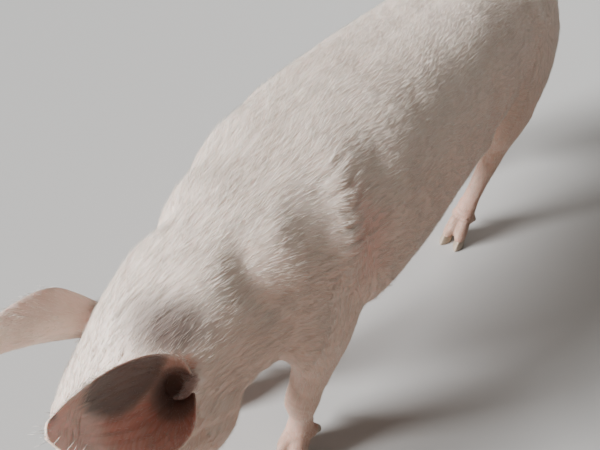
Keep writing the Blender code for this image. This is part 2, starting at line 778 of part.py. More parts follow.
def head_nodes(body):
    """The head with its lids, lips and seats, the snout disc and the two eyes."""
    head = duplicate(body, "head")
    head = combined(head, "INTERSECT", [half_space("cell", NECK_FRONT, NECK_FRONT_LEAN, 1)])
    for side in (1, -1):
        head = combined(head, "UNION", [eyeball("lids", side, EYE_RADIUS + LID_THICKNESS)])
        head = combined(
            head, "DIFFERENCE", [lid_opening(side), eyeball("socket", side, EYE_RADIUS + GAP)]
        )
        head = combined(head, "DIFFERENCE", [mouth_groove(side, body)])
    head = combined(head, "DIFFERENCE", [snout_disc("seat", GAP)])
    snout = combined(snout_disc("snout"), "DIFFERENCE", [nostril(1), nostril(-1)])
    eyes = [eyeball("eye_left", 1, EYE_RADIUS), eyeball("eye_right", -1, EYE_RADIUS)]
    return head, snout, eyes


def main():
    clear_scene()
    body = flesh()
    wide = inflated(body, "wide", GAP)
    ears = [
        ear("ear_left", LEFT_EAR_ROOT, *LEFT_EAR),
        ear("ear_right", RIGHT_EAR_ROOT, *RIGHT_EAR),
    ]
    ears = [combined(made, "DIFFERENCE", [duplicate(wide, "cut")]) for made in ears]
    curl = combined(tail(), "DIFFERENCE", [wide])
    head, snout, eyes = head_nodes(body)

    neck = combined(
        duplicate(body, "neck"),
        "INTERSECT",
        [
            half_space("cell", NECK_BACK, NECK_BACK_LEAN, 1),
            half_space("cell", NECK_FRONT, NECK_FRONT_LEAN, -1),
        ],
    )
    torso = combined(
        duplicate(body, "torso"), "INTERSECT", [half_space("cell", NECK_BACK, NECK_BACK_LEAN, -1)]
    )
    legs = []
    horn = []
    for name, foot_x, foot_y, side, rings in feet():
        top, reach = (FORE_LEG_TOP, FORE_CELL) if "fore" in name else (HIND_LEG_TOP, HIND_CELL)
        near, far = (0.0, 0.30) if side > 0 else (-0.30, 0.0)
        below = block("cell", (reach[0], near, -0.10), (reach[1], far, top - GAP / 2))
        above = block("cell", (reach[0], near, -0.10), (reach[1], far, top + GAP / 2))
        torso = combined(torso, "DIFFERENCE", [above])
        part = combined(duplicate(body, name), "INTERSECT", [below])
        for inner, place in ((side, "outer"), (-side, "inner")):
            toe = claw(name.replace("leg", "claw") + "_" + place, foot_x, side * foot_y, inner)
            spur = dewclaw(name.replace("leg", "dewclaw") + "_" + place, foot_x, side * foot_y, inner)
            part = combined(
                part, "DIFFERENCE", [inflated(toe, "cut", GAP), inflated(spur, "cut", GAP)]
            )
            horn.extend([toe, spur])
        legs.append(part)
    bpy.data.objects.remove(body)

    for node in [head, neck, torso] + legs:
        dress(largest(node), "skin_" + node.name, SKIN_COLOUR, 0.6, True)
    dress(largest(curl), "skin_tail", SKIN_COLOUR, 0.6, True)
    for node in ears:
        dress(largest(node), "skin_" + node.name, EAR_COLOUR, 0.6, True)
    dress(largest(snout), "skin_snout", SNOUT_COLOUR, 0.5, True)
    for node in eyes:
        dress(node, "wet_" + node.name, EYE_COLOUR, 0.12, True)
    for node in horn:
        dress(node, "horn_" + node.name, HORN_COLOUR, 0.5, True)
    centred([head, neck, torso, curl, snout] + legs + ears + eyes + horn)


if __name__ == "__main__":
    main()
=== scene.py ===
import math

import bmesh
import bpy
import numpy as np
from mathutils import Matrix, Vector
from mathutils.bvhtree import BVHTree


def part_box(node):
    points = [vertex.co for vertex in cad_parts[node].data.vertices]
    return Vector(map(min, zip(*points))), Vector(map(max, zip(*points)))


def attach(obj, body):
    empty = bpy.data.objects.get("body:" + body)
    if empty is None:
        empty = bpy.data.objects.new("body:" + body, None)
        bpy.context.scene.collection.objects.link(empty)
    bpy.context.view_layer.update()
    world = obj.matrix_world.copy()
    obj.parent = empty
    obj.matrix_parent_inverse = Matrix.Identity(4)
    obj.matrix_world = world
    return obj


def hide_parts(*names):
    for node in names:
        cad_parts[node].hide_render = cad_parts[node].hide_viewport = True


# A domestic pig, life size, still. Shapes are worked out from a point on the floor between the fore
# feet, with +X to the head and +Y to the animal's left, and are moved into the frame when finished.
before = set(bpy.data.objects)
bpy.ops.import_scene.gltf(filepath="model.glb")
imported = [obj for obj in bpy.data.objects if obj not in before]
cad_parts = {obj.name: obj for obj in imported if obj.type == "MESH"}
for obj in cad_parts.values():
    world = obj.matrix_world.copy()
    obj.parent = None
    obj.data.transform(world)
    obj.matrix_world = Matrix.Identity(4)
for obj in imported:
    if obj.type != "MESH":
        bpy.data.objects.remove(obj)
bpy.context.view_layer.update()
chance = np.random.default_rng(7)

form = {
    # x, y, z, lean in degrees, half width, height above and below the widest level
    "trunk": (
        (-0.94, 0.0, 0.462, -10, 0.03, 0.04, 0.04),
        (-0.922, 0.0, 0.455, -8, 0.078, 0.083, 0.085),
        (-0.87, 0.0, 0.448, -4, 0.116, 0.124, 0.118),
        (-0.76, 0.0, 0.44, -2, 0.132, 0.16, 0.135),
        (-0.62, 0.0, 0.432, 0, 0.136, 0.184, 0.152),
        (-0.48, 0.0, 0.428, 0, 0.144, 0.194, 0.176),
        (-0.34, 0.0, 0.425, 0, 0.151, 0.199, 0.186),
        (-0.2, 0.0, 0.427, 0, 0.154, 0.2, 0.182),
        (-0.085, 0.0, 0.432, 0, 0.147, 0.19, 0.168),
        (0.02, -0.001, 0.432, 6, 0.114, 0.165, 0.15),
        (0.095, -0.006, 0.42, 18, 0.098, 0.147, 0.134),
        (0.147, -0.011, 0.398, 32, 0.092, 0.136, 0.126),
        (0.184, -0.016, 0.364, 46, 0.085, 0.122, 0.108),
        (0.206, -0.02, 0.328, 58, 0.074, 0.102, 0.08),
    ),
    "poll": (0.25, -0.02, 0.47),
    "headTurn": (-11, 60, 0),
    # place along the face, face line, jaw line, half width, and how far down the widest level is
    "head": (
        (-0.045, -0.045, -0.15, 0.052, 0.5),
        (-0.012, -0.008, -0.184, 0.076, 0.46),
        (0.032, 0.007, -0.196, 0.09, 0.48),
        (0.08, 0.011, -0.184, 0.092, 0.49),
        (0.122, 0.004, -0.157, 0.082, 0.46),
        (0.16, -0.009, -0.133, 0.067, 0.46),
        (0.2, -0.02, -0.117, 0.056, 0.5),
        (0.242, -0.024, -0.108, 0.05, 0.52),
        (0.278, -0.018, -0.1, 0.0475, 0.5),
        (0.309, -0.012, -0.091, 0.0455, 0.5),
    ),
    # place in the head's axes and three radii
    "cheek": (0.066, 0.055, -0.124, 0.072, 0.043, 0.064),
    "brow": (0.104, 0.051, -0.026, 0.042, 0.022, 0.02),
    "chin": (0.264, 0.0, -0.1, 0.036, 0.03, 0.017),
    # x and y from the foot, z, half depth and half width
    "foreLeg": (
        (-0.095, -0.034, 0.56, 0.05, 0.026),
        (-0.082, -0.018, 0.505, 0.088, 0.04),
        (-0.056, -0.008, 0.435, 0.104, 0.05),
        (-0.04, 0.0, 0.37, 0.092, 0.049),
        (-0.037, 0.004, 0.31, 0.068, 0.042),
        (-0.03, 0.006, 0.258, 0.045, 0.034),
        (-0.014, 0.004, 0.208, 0.033, 0.0285),
        (-0.004, 0.002, 0.168, 0.031, 0.029),
        (-0.006, 0.001, 0.13, 0.024, 0.0225),
        (-0.008, 0.0, 0.095, 0.023, 0.022),
        (-0.006, 0.0, 0.068, 0.0265, 0.0265),
        (0.0, 0.0, 0.048, 0.022, 0.025),
    ),
    "hindLeg": (
        (-0.125, -0.046, 0.56, 0.07, 0.03),
        (-0.112, -0.03, 0.505, 0.122, 0.046),
        (-0.104, -0.014, 0.44, 0.148, 0.054),
        (-0.098, -0.002, 0.375, 0.136, 0.054),
        (-0.096, 0.005, 0.32, 0.106, 0.048),
        (-0.1, 0.008, 0.27, 0.07, 0.04),
        (-0.106, 0.006, 0.228, 0.045, 0.0305),
        (-0.094, 0.004, 0.186, 0.033, 0.026),
        (-0.063, 0.002, 0.14, 0.026, 0.023),
        (-0.034, 0.0, 0.1, 0.0245, 0.0225),
        (-0.015, 0.0, 0.07, 0.0275, 0.0265),
        (-0.004, 0.0, 0.048, 0.022, 0.025),
    ),
    # the hams stay with the pelvis: place along the body, and the levels between which they let go
    "hip": (-0.672, 0.24, 0.4),
    # place from the foot and three radii
    "hock": ((-0.138, 0.006, 0.242), (0.016, 0.013, 0.026)),
    # x, y and side of each foot
    "feet": {
        "foreLeft": (0.012, 0.086, 1),
        "foreRight": (0.012, -0.086, -1),
        "hindLeft": (-0.63, 0.102, 1),
        "hindRight": (-0.7, -0.102, -1),
    },
    "trunkSquareness": 2.3,  # 2 is an oval, more is squarer
    "legSquareness": 2.2,
}

toeForm = {
    # place down the toe, half depth and half width
    "rows": (
        (0.0, 0.012, 0.01),
        (0.2, 0.0185, 0.0135),
        (0.5, 0.0215, 0.014),
        (0.8, 0.0205, 0.0132),
        (1.0, 0.015, 0.0095),
    ),
    "length": 0.062,
    "lean": 27,
    "start": (-0.008, 0.0, 0.072),
    "spread": 0.015,
    "stub": (-0.019, 0.0185, 0.062),  # root of a dewclaw, from the foot
    "stubRadii": (0.014, 0.0095, 0.015),
}

eyeForm = {
    "place": (0.127, 0.063, -0.044),
    "radius": 0.012,
    "lid": 0.0034,
    "opening": 60,
    "slant": 12,
}

earForm = {
    "length": 0.176,
    # place along it, half width round the curve, roll to each side in degrees
    "rows": (
        (0.0, 0.052, 152),
        (0.12, 0.062, 134),
        (0.28, 0.069, 102),
        (0.46, 0.064, 76),
        (0.64, 0.053, 62),
        (0.8, 0.038, 50),
        (0.92, 0.022, 36),
        (1.0, 0.007, 22),
    ),
    "thickness": (0.0056, 0.0028),
    "gristle": (0.0012, 17, 0.75),  # height of the ridges, how close they are, and how far out
    "wave": (0.0016, 9),
    # root place, then the ways of root, tip, opening at the root and at the tip, in the head's axes
    "left": (
        (-0.012, 0.054, -0.04),
        (-0.31, 0.4, 0.86),
        (-0.28, 0.02, 0.98),
        (-0.66, 0.75, 0.0),
        (-0.66, 0.75, 0.0),
    ),
    "right": (
        (0.001, -0.057, -0.042),
        (0.15, -0.42, 0.88),
        (0.85, -0.35, 0.7),
        (-0.22, -0.98, 0.0),
        (-0.75, -0.65, 0.2),
    ),
}

tailForm = {
    "root": (-0.912, 0.0, 0.528),
    "radii": (0.0134, 0.004),
    "reach": 0.135,
    "slope": 30,
    "curl": 0.03,
    "turns": 1.65,
}


# A row of numbers at even steps on a cubic curve through the given rows.
def through(rows, count):
    rows = np.asarray(rows, float)
    slopes = np.gradient(rows, axis=0)
    place = np.linspace(0, len(rows) - 1, count)
    low = np.minimum(place.astype(int), len(rows) - 2)
    u = (place - low)[:, None]
    start = (2 * u**3 - 3 * u**2 + 1) * rows[low] + (u**3 - 2 * u**2 + u) * slopes[low]
    end = (3 * u**2 - 2 * u**3) * rows[low + 1] + (u**3 - u**2) * slopes[low + 1]
    return start + end


# Square root of the sum of the squares.
def lengthOf(vectors):
    return np.linalg.norm(vectors, axis=-1)


# Each vector over its own length.
def unit(vectors):
    vectors = np.asarray(vectors, float)
    return vectors / np.maximum(np.linalg.norm(vectors, axis=-1, keepdims=True), 1e-9)


# Sum of the products of the parts of two vectors, row by row.
def dots(first, second):
    return np.einsum("ij,ij->i", first, second)


# From 0 at low to 1 at high with level ends: three squares of the share less two cubes.
def ease(values, low, high):
    u = np.clip((values - low) / (high - low), 0, 1)
    return u * u * (3 - 2 * u)


# From 1 at low to 0 at high: one less the eased step.
def fade(values, low, high):
    return 1 - ease(values, low, high)


# A bell curve: e to the power of minus the square of the distance over the width.
def bell(values, middle, width):
    return np.exp(-(((values - middle) / width) ** 2))


# Cosine and sine of even angles round one turn.
def circle(count):
    angle = np.linspace(0, 2 * math.pi, count, endpoint=False)
    return np.cos(angle), np.sin(angle)


# A cosine or sine raised to 2 / squareness, with its sign kept.
def squared(values, squareness):
    return np.sign(values) * np.abs(values) ** (2 / squareness)


# A tube through oval rings, all at once: squared cosine and sine of an even angle, stretched by the
# half width and by the height above or below.
def ovalTube(centres, sides, ups, halfWidth, above, below, squareness, count):
    c, s = circle(count)
    across = squared(c, squareness) * halfWidth[:, None]
    height = squared(s, squareness) * np.where(s > 0, above[:, None], below[:, None])
    sides = np.broadcast_to(sides, centres.shape)[:, None]
    ups = np.broadcast_to(ups, centres.shape)[:, None]
    return tube(centres[:, None] + across[..., None] * sides + height[..., None] * ups)


# Points and faces of a closed tube through rings of equally many points.
def tube(rings):
    levels, count = rings.shape[:2]
    low = (np.arange(levels - 1)[:, None] * count + np.arange(count)).ravel()
    high = (np.arange(levels - 1)[:, None] * count + (np.arange(count) + 1) % count).ravel()
    faces = np.stack([low, high, high + count, low + count], 1).tolist()
    faces.append(list(range(count))[::-1])
    faces.append([(levels - 1) * count + i for i in range(count)])
    return rings.reshape(-1, 3), faces


# An ellipsoid: sine and cosine of two angles times the three radii.
def ball(centre, axes, radii, across=32, down=20):
    polar = np.linspace(0, math.pi, down + 1)[1:-1]
    c, s = circle(across)
    x = np.cos(polar)[:, None] * np.ones(across)
    points, faces = tube(np.stack([x, np.sin(polar)[:, None] * c, np.sin(polar)[:, None] * s], -1))
    return np.asarray(centre) + (points * np.asarray(radii)) @ np.asarray(axes), faces


def newObject(name, data):
    made = bpy.data.objects.new(name, data)
    bpy.context.scene.collection.objects.link(made)
    return made


# One object of several pairs of points and faces, with its faces turned outwards.
def makeObject(name, *parts):
    points, faces, start = [], [], 0
    for part, corners in parts:
        points.append(part)
        faces.extend([[start + i for i in face] for face in corners])
        start += len(part)
    mesh = bpy.data.meshes.new(name)
    mesh.from_pydata(np.concatenate(points), [], faces)
    work = bmesh.new()
    work.from_mesh(mesh)
    bmesh.ops.recalc_face_normals(work, faces=work.faces)
    work.to_mesh(mesh)
    work.free()
    return newObject(name, mesh)


# Puts a modifier on a thing and makes its result the thing's own mesh.
def modified(thing, kind, **settings):
    step = thing.modifiers.new(kind.lower(), kind)
    for key, value in settings.items():
        setattr(step, key, value)
    bpy.context.view_layer.update()
    seen = thing.evaluated_get(bpy.context.evaluated_depsgraph_get())
    mesh = bpy.data.meshes.new_from_object(seen)
    thing.modifiers.clear()
    thing.data = mesh
    return thing


# One closed surface round touching forms, on a lattice of voxels. Each point then goes half way to
# the mean of its neighbours, as often as smoothing says.
def fused(thing, voxel, smoothing):
    modified(thing, "REMESH", mode="VOXEL", voxel_size=voxel)
    return modified(thing, "SMOOTH", factor=0.5, iterations=smoothing)


# Cuts parts out of a thing or joins them to it.
def combined(thing, operation, *parts):
    other = makeObject("other", *parts)
    modified(thing, "BOOLEAN", operation=operation, solver="MANIFOLD", object=other)
    bpy.data.objects.remove(other)


def pointsOf(mesh, layer="vertices", key="co"):
    values = np.empty(len(mesh.vertices) * 3, np.float32)
    getattr(mesh, layer).foreach_get(key, values)
    return values.reshape(-1, 3).astype(float)


def normalsOf(mesh):
    return pointsOf(mesh, "vertex_normals", "vector")


def saveValues(mesh, name, values):
    layer = mesh.attributes.new(name, "FLOAT", "POINT")
    layer.data.foreach_set("value", np.asarray(values, np.float32))


def treeOf(thing):
    return BVHTree.FromObject(thing, bpy.context.evaluated_depsgraph_get())


# Where a ray meets the skin, and which way the skin faces there.
def skinHit(tree, start, way, reach=1.0):
    place, normal = tree.ray_cast(Vector(start), Vector(way), reach)[:2]
    return (None, None) if place is None else (np.array(place), np.array(normal))


# Smooth random values between 0 and 1: a lattice of random numbers read with eased weights.
latticeSize = 32
lattice = np.random.default_rng(3).random((latticeSize,) * 3)


def noise(points, size, offset=0.0):
    place = np.asarray(points) / size + offset
    low = np.floor(place).astype(int)
    u = place - low
    u = u * u * (3 - 2 * u)
    total = 0
    for corner in np.ndindex(2, 2, 2):
        share = np.where(corner, u, 1 - u)
        x, y, z = ((low + corner) % latticeSize).T
        total = total + share[:, 0] * share[:, 1] * share[:, 2] * lattice[x, y, z]
    return total


yaw, pitch, roll = form["headTurn"]
headAxes = np.array(
    (
        Matrix.Rotation(math.radians(yaw), 3, "Z")
        @ Matrix.Rotation(math.radians(pitch), 3, "Y")
        @ Matrix.Rotation(math.radians(roll), 3, "X")
    ).transposed()
)
forward, leftward, upward = worldAxes = np.eye(3)


# The poll plus shares of the head's axes: along the face, to the left and out of the face.
def headPoint(*place):
    return np.asarray(form["poll"]) + np.asarray(place) @ headAxes


# Middle of an eyeball, or a place further out on its axis.
def eyePoint(side, out=0.0):
    along, left, dorsal = eyeForm["place"]
    return headPoint(along, side * (left + out), dorsal)


# The head's ways along the face and out of it, turned in its middle plane.
def slanted(degrees):
    c, s = math.cos(math.radians(degrees)), math.sin(math.radians(degrees))
    return c * headAxes[0] + s * headAxes[2], c * headAxes[2] - s * headAxes[0]


# Where a shape worked out from the fore feet goes in the frame
eyeLow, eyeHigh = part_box("eye_left")
shift = (np.array(eyeLow) + np.array(eyeHigh)) / 2 - eyePoint(1)

# The middle lines of the trunk, head, legs, ears and tail. Each is a row of places with the ways
# ahead, to the side and up, and a radius; hair direction, folds and the unwrap are read off them.
spines = {}


# Keeps a middle line: its way ahead is the slope from place to place, its length adds the steps up.
def addSpine(name, centres, sides, ups, radius, scale=()):
    ahead = unit(np.gradient(centres, axis=0))
    spines[name] = {
        "centre": centres,
        "ahead": ahead,
        "side": np.broadcast_to(sides, ahead.shape),
        "up": np.broadcast_to(ups, ahead.shape),
        "radius": radius,
        "length": np.concatenate([[0], np.cumsum(lengthOf(np.diff(centres, axis=0)))]),
        "scale": scale,
    }


# Trunk: ovals across a middle line, each leaning by its own angle.
def trunkTube():
    rows = through(form["trunk"], 90)
    centre, (width, above, below) = rows[:, :3], rows[:, 4:].T
    lean = np.radians(rows[:, 3])
    up = np.stack([np.sin(lean), 0 * lean, np.cos(lean)], 1)
    addSpine("trunk", centre, leftward, up, (width + above) / 2, centre[:, 0])
    return ovalTube(centre, leftward, up, width, above, below, form["trunkSquareness"], 48)


# Head: ovals between the face line and the jaw line.
def skullTube():
    place, top, bottom, width, level = through(form["head"], 60).T
    depth = top - bottom
    centre = np.stack([place, 0 * place, top - level * depth], 1)
    centre = np.asarray(form["poll"]) + centre @ headAxes
    ways = headAxes[1:]
    addSpine("head", centre, *ways, (width + depth / 2) / 2, place)
    above, below = level * depth, (1 - level) * depth
    return ovalTube(centre, *ways, width, above, below, form["trunkSquareness"], 48)


# Leg: ovals lying level, one under the other.
def legTube(name):
    footX, footY, side = form["feet"][name]
    x, y, z, depth, width = through(form[name[:4] + "Leg"], 64).T
    if "hind" in name:
        hipX, low, high = form["hip"]
        footX = footX + (hipX - footX) * ease(z, low, high)
    centre = np.stack([footX + x, footY + side * y, z], 1)
    addSpine(name, centre, forward, leftward, (depth + width) / 2, z[::-1])
    return ovalTube(centre, forward, leftward, depth, width, width, form["legSquareness"], 32)


# A swelling of the head: an ellipsoid in the head's axes.
def swelling(sizes, side=1):
    along, left, dorsal = sizes[:3]
    return ball(headPoint(along, side * left, dorsal), headAxes, sizes[3:])


# Toes: short ovals that lean forward, two to a foot, and the stubs of the dewclaws.
def toeTubes(name):
    foot = np.array((*form["feet"][name][:2], 0.0))
    lean = math.radians(toeForm["lean"])
    ahead = np.array((math.sin(lean), 0.0, -math.cos(lean)))
    over = (math.cos(lean), 0.0, math.sin(lean))
    step, depth, width = through(toeForm["rows"], 12).T
    x, y, z = toeForm["stub"]
    made = []
    for inner in (-1, 1):
        centre = foot + toeForm["start"] + np.outer(step * toeForm["length"], ahead)
        centre[:, 1] += inner * toeForm["spread"] * (0.55 + 0.45 * step)
        squareness = form["legSquareness"]
        made.append(ovalTube(centre, over, leftward, depth, width, width, squareness, 20))
        made.append(ball(foot + (x, inner * y, z), worldAxes, toeForm["stubRadii"], 16, 10))
    return made


# Ear: rolled rows carried along a bending axis. The place across a row is an angle; the inner face
# lies inside the outer one by the thickness and carries long low ridges of gristle.
def earTube(name):
    root, *ways = [np.asarray(v, float) for v in earForm[name]]
    start, end, opening, tipOpening = [way @ headAxes for way in ways]
    ridgeHeight, ridgeCount, ridgeEnd = earForm["gristle"]
    waveHeight, waveCount = earForm["wave"]
    thickRoot, thickTip = earForm["thickness"]
    rows = through(earForm["rows"], 72)
    across = np.linspace(-1, 1, 49)
    place = headPoint(*root)
    before = 0.0
    outer, inner, centres, aheads, opens = [], [], [], [], []
    for s, width, turned in rows:
        s = min(max(s, 0.0), 1.0)
        ahead = unit((1 - s) * unit(start) + s * unit(end))
        place = place + ahead * (s - before) * earForm["length"]
        before = s
        openWay = (1 - s) * opening + s * tipOpening
        openWay = unit(openWay - ahead * (openWay @ ahead))
        wide = np.cross(ahead, openWay)
        halfRoll = math.radians(turned)
        radius = width / halfRoll
        thick = thickRoot * (1 - s) + thickTip * s
        rim = 1 - 0.35 * np.abs(across) ** 6
        strength = ridgeHeight * math.sin(math.pi * min(s * 1.15, 1.0)) ** 0.7
        ridges = strength * np.cos(across * ridgeCount) ** 2 * (np.abs(across) < ridgeEnd)
        wave = waveHeight * np.sin(waveCount * s + 2 * np.sign(across)) * np.abs(across) ** 4 * s
        angle = halfRoll * across
        for grid, size in ((outer, radius + wave), (inner, radius + wave - thick * rim - ridges)):
            size = np.maximum(size, 0.2 * radius)
            back = np.outer(radius - size * np.cos(angle), openWay)
            grid.append(place + back + np.outer(size * np.sin(angle), wide))
        centres.append(place + openWay * radius)
        aheads.append(ahead)
        opens.append(openWay)
    ups = np.array(opens)
    sides = np.cross(np.array(aheads), ups)
    addSpine("ear" + name, np.array(centres), sides, ups, rows[:, 1] * 0.5 + 0.004)
    return tube(np.concatenate([np.array(outer), np.array(inner)[:, ::-1]], 1))


# Tail: circles carried round a corkscrew that winds out from a sloping line.
def tailTube():
    slope = math.radians(tailForm["slope"])
    axis = (-math.cos(slope), 0.0, -math.sin(slope))
    under = (math.sin(slope), 0.0, -math.cos(slope))
    steps = np.linspace(0, 1, 110)
    turn = 2 * math.pi * tailForm["turns"] * steps
    radius = tailForm["curl"] * ease(steps, 0, 0.55)
    reach = tailForm["reach"] * (1.35 * steps - 0.35 * steps**2)
    path = tailForm["root"] + np.outer(reach, axis) - np.outer(radius * np.cos(turn), under)
    path = path + np.outer(radius * np.sin(turn), leftward)
    thickRoot, thickTip = tailForm["radii"]
    thick = thickTip + (thickRoot - thickTip) * (1 - steps) ** 1.1
    thick[-3:] *= (0.92, 0.75, 0.4)  # rounds the tip
    ahead = unit(np.gradient(path, axis=0))
    side = leftward
    sides = []
    for way in ahead:
        side = unit(side - way * (side @ way))
        sides.append(side)
    sides = np.array(sides)
    ups = np.cross(ahead, sides)
    addSpine("tail", path, sides, ups, thick)
    return ovalTube(path, sides, ups, thick, thick, thick, 2.0, 16)


# A wedge that opens the lids from the middle of the eyeball outwards.
def lidWedge(side):
    longWay, across = slanted(eyeForm["slant"])
    out = side * headAxes[1]
    middle = eyePoint(side, 0.0012)
    half = math.radians(eyeForm["opening"] / 2)
    reach = 0.04
    points = []
    for end in (-1, 1):
        foot = middle + longWay * end * (eyeForm["radius"] + eyeForm["lid"])
        tip = foot + out * reach * math.cos(half)
        lift = across * reach * math.sin(half)
        points += [foot, tip + lift, tip - lift]
    faces = [(0, 1, 2), (3, 5, 4), (0, 3, 4, 1), (1, 4, 5, 2), (2, 5, 3, 0)]
    return np.array(points), faces


bodyParts = ("trunk", "head", "foreLeft", "foreRight", "hindLeft", "hindRight")
allParts = bodyParts + ("earleft", "earright", "tail")
# each part's number is its place in that row
trunkPart, headPart, tailPart = 0, 1, 8
legParts, earParts = (2, 3, 4, 5), (6, 7)


# The nearest place on the middle lines for each point, measured against the local thickness.
def locate(points, names):
    best = np.full(len(points), 1e9)
    part = np.zeros(len(points), int)
    row = np.zeros(len(points), int)
    batch = 40000
    for number, name in enumerate(names):
        spine = spines[name]
        for first in range(0, len(points), batch):
            some = slice(first, first + batch)
            gap = lengthOf(points[some, None] - spine["centre"][None])
            near = gap.argmin(axis=1)
            score = gap[np.arange(len(near)), near] / spine["radius"][near]
            better = score < best[some]
            best[some] = np.where(better, score, best[some])
            part[some] = np.where(better, number, part[some])
            row[some] = np.where(better, near, row[some])
    return part, row


# Folds and muscle edges. Each runs over the skin through (place, angle) pairs: the place is x on
# the trunk, the distance from the poll on the head and the height on a leg, in metres, and the
# angle goes round the part in degrees from its left, 90 being up. A ridge has a depth below zero.
folds = []


# On the other side a fold's angles are 180 degrees less each angle.
def addFold(part, path, depth, width, mirror=True):
    folds.append((part, path, depth, width))
    if mirror:
        folds.append((part, [(row, 180 - angle) for row, angle in path], depth, width))


# Folds on both sides of the trunk: path, depth and width
shoulderFolds = (
    # the hollow before the blade, with its ridge, then the blade's spine and the hollow behind it
    (((0.05, 78), (0.07, 66), (0.076, 52), (0.072, 36), (0.064, 18)), 0.0085, 0.021),
    (((0.03, 74), (0.034, 52), (0.03, 28)), -0.003, 0.018),
    (((-0.07, 78), (-0.052, 63), (-0.036, 49), (-0.028, 36), (-0.03, 20)), -0.0042, 0.02),
    (((-0.132, 70), (-0.106, 54), (-0.084, 36), (-0.072, 16), (-0.07, 2)), 0.0045, 0.026),
)
sideFolds = (
    # behind the elbow, flank fold, the edge before it, ribs' end, hip bone and ham
    (((-0.075, -22), (-0.085, -40), (-0.08, -60)), 0.006, 0.012),
    (((-0.54, 4), (-0.555, -22), (-0.565, -48)), 0.0075, 0.017),
    (((-0.5, -14), (-0.51, -34), (-0.53, -56)), -0.005, 0.014),
    (((-0.43, 46), (-0.45, 26), (-0.44, 4)), 0.003, 0.03),
    (((-0.66, 66), (-0.69, 46), (-0.71, 24)), -0.004, 0.024),
    (((-0.82, 58), (-0.85, 30), (-0.845, 4)), 0.003, 0.018),
)
# On the legs: folds down the leg with angles outwards, wrinkles across the joint as height and
# depth, their half span in degrees, bend and width, and the heights of the cord at the heel
legFolds = {
    "fore": {
        "down": (
            (((0.335, 150), (0.3, 138), (0.268, 118)), 0.004, 0.008),
            (((0.3, 62), (0.255, 58), (0.215, 52)), 0.0018, 0.008),
        ),
        "across": (
            (0.19, 0.0006),
            (0.178, 0.0009),
            (0.168, 0.001),
            (0.155, 0.0008),
            (0.146, 0.0006),
        ),
        "span": (78, 0.002, 0.0028),
        "heel": (0.15, 0.12, 0.088),
    },
    "hind": {
        "down": (
            (((0.42, 150), (0.35, 152), (0.29, 150)), 0.004, 0.012),
            (((0.31, 132), (0.27, 134), (0.232, 130)), 0.0045, 0.0075),
            (((0.31, -132), (0.27, -134), (0.232, -130)), 0.0035, 0.0075),
        ),
        "across": ((0.232, 0.0009), (0.22, 0.0009), (0.208, 0.0009), (0.196, 0.0009)),
        "span": (62, -0.003, 0.0034),
        "heel": (0.165, 0.13, 0.092),
    },
}
# Wrinkles over the muzzle: place, swing and span in degrees
muzzleFolds = (
    (0.166, 10, 44),
    (0.184, -14, 50),
    (0.199, 6, 62),
    (0.217, -6, 54),
    (0.231, 12, 60),
    (0.249, -10, 62),
    (0.267, 4, 66),
)
faceFolds = (
    # upper lip, lower lip, hollow under the cheek bone, three round the eye, cheek and jowl
    (((0.28, 10), (0.25, 2), (0.215, -6), (0.18, -14)), -0.0016, 0.006),
    (((0.3, -20), (0.262, -30), (0.222, -40), (0.186, -50)), -0.002, 0.005),
    (((0.262, 34), (0.23, 32), (0.195, 30), (0.16, 30)), 0.0028, 0.008),
    (((0.152, 20), (0.168, 6), (0.182, -6)), 0.0024, 0.0042),
    (((0.15, 6), (0.158, -8), (0.16, -20)), 0.0018, 0.004),
    (((0.158, -34), (0.142, -26), (0.132, -14)), 0.0026, 0.0046),
    (((0.1, 18), (0.088, 4), (0.086, -18), (0.092, -38)), 0.0018, 0.008),
    (((0.06, 30), (0.046, 10), (0.04, -16), (0.044, -42)), 0.002, 0.0095),
)


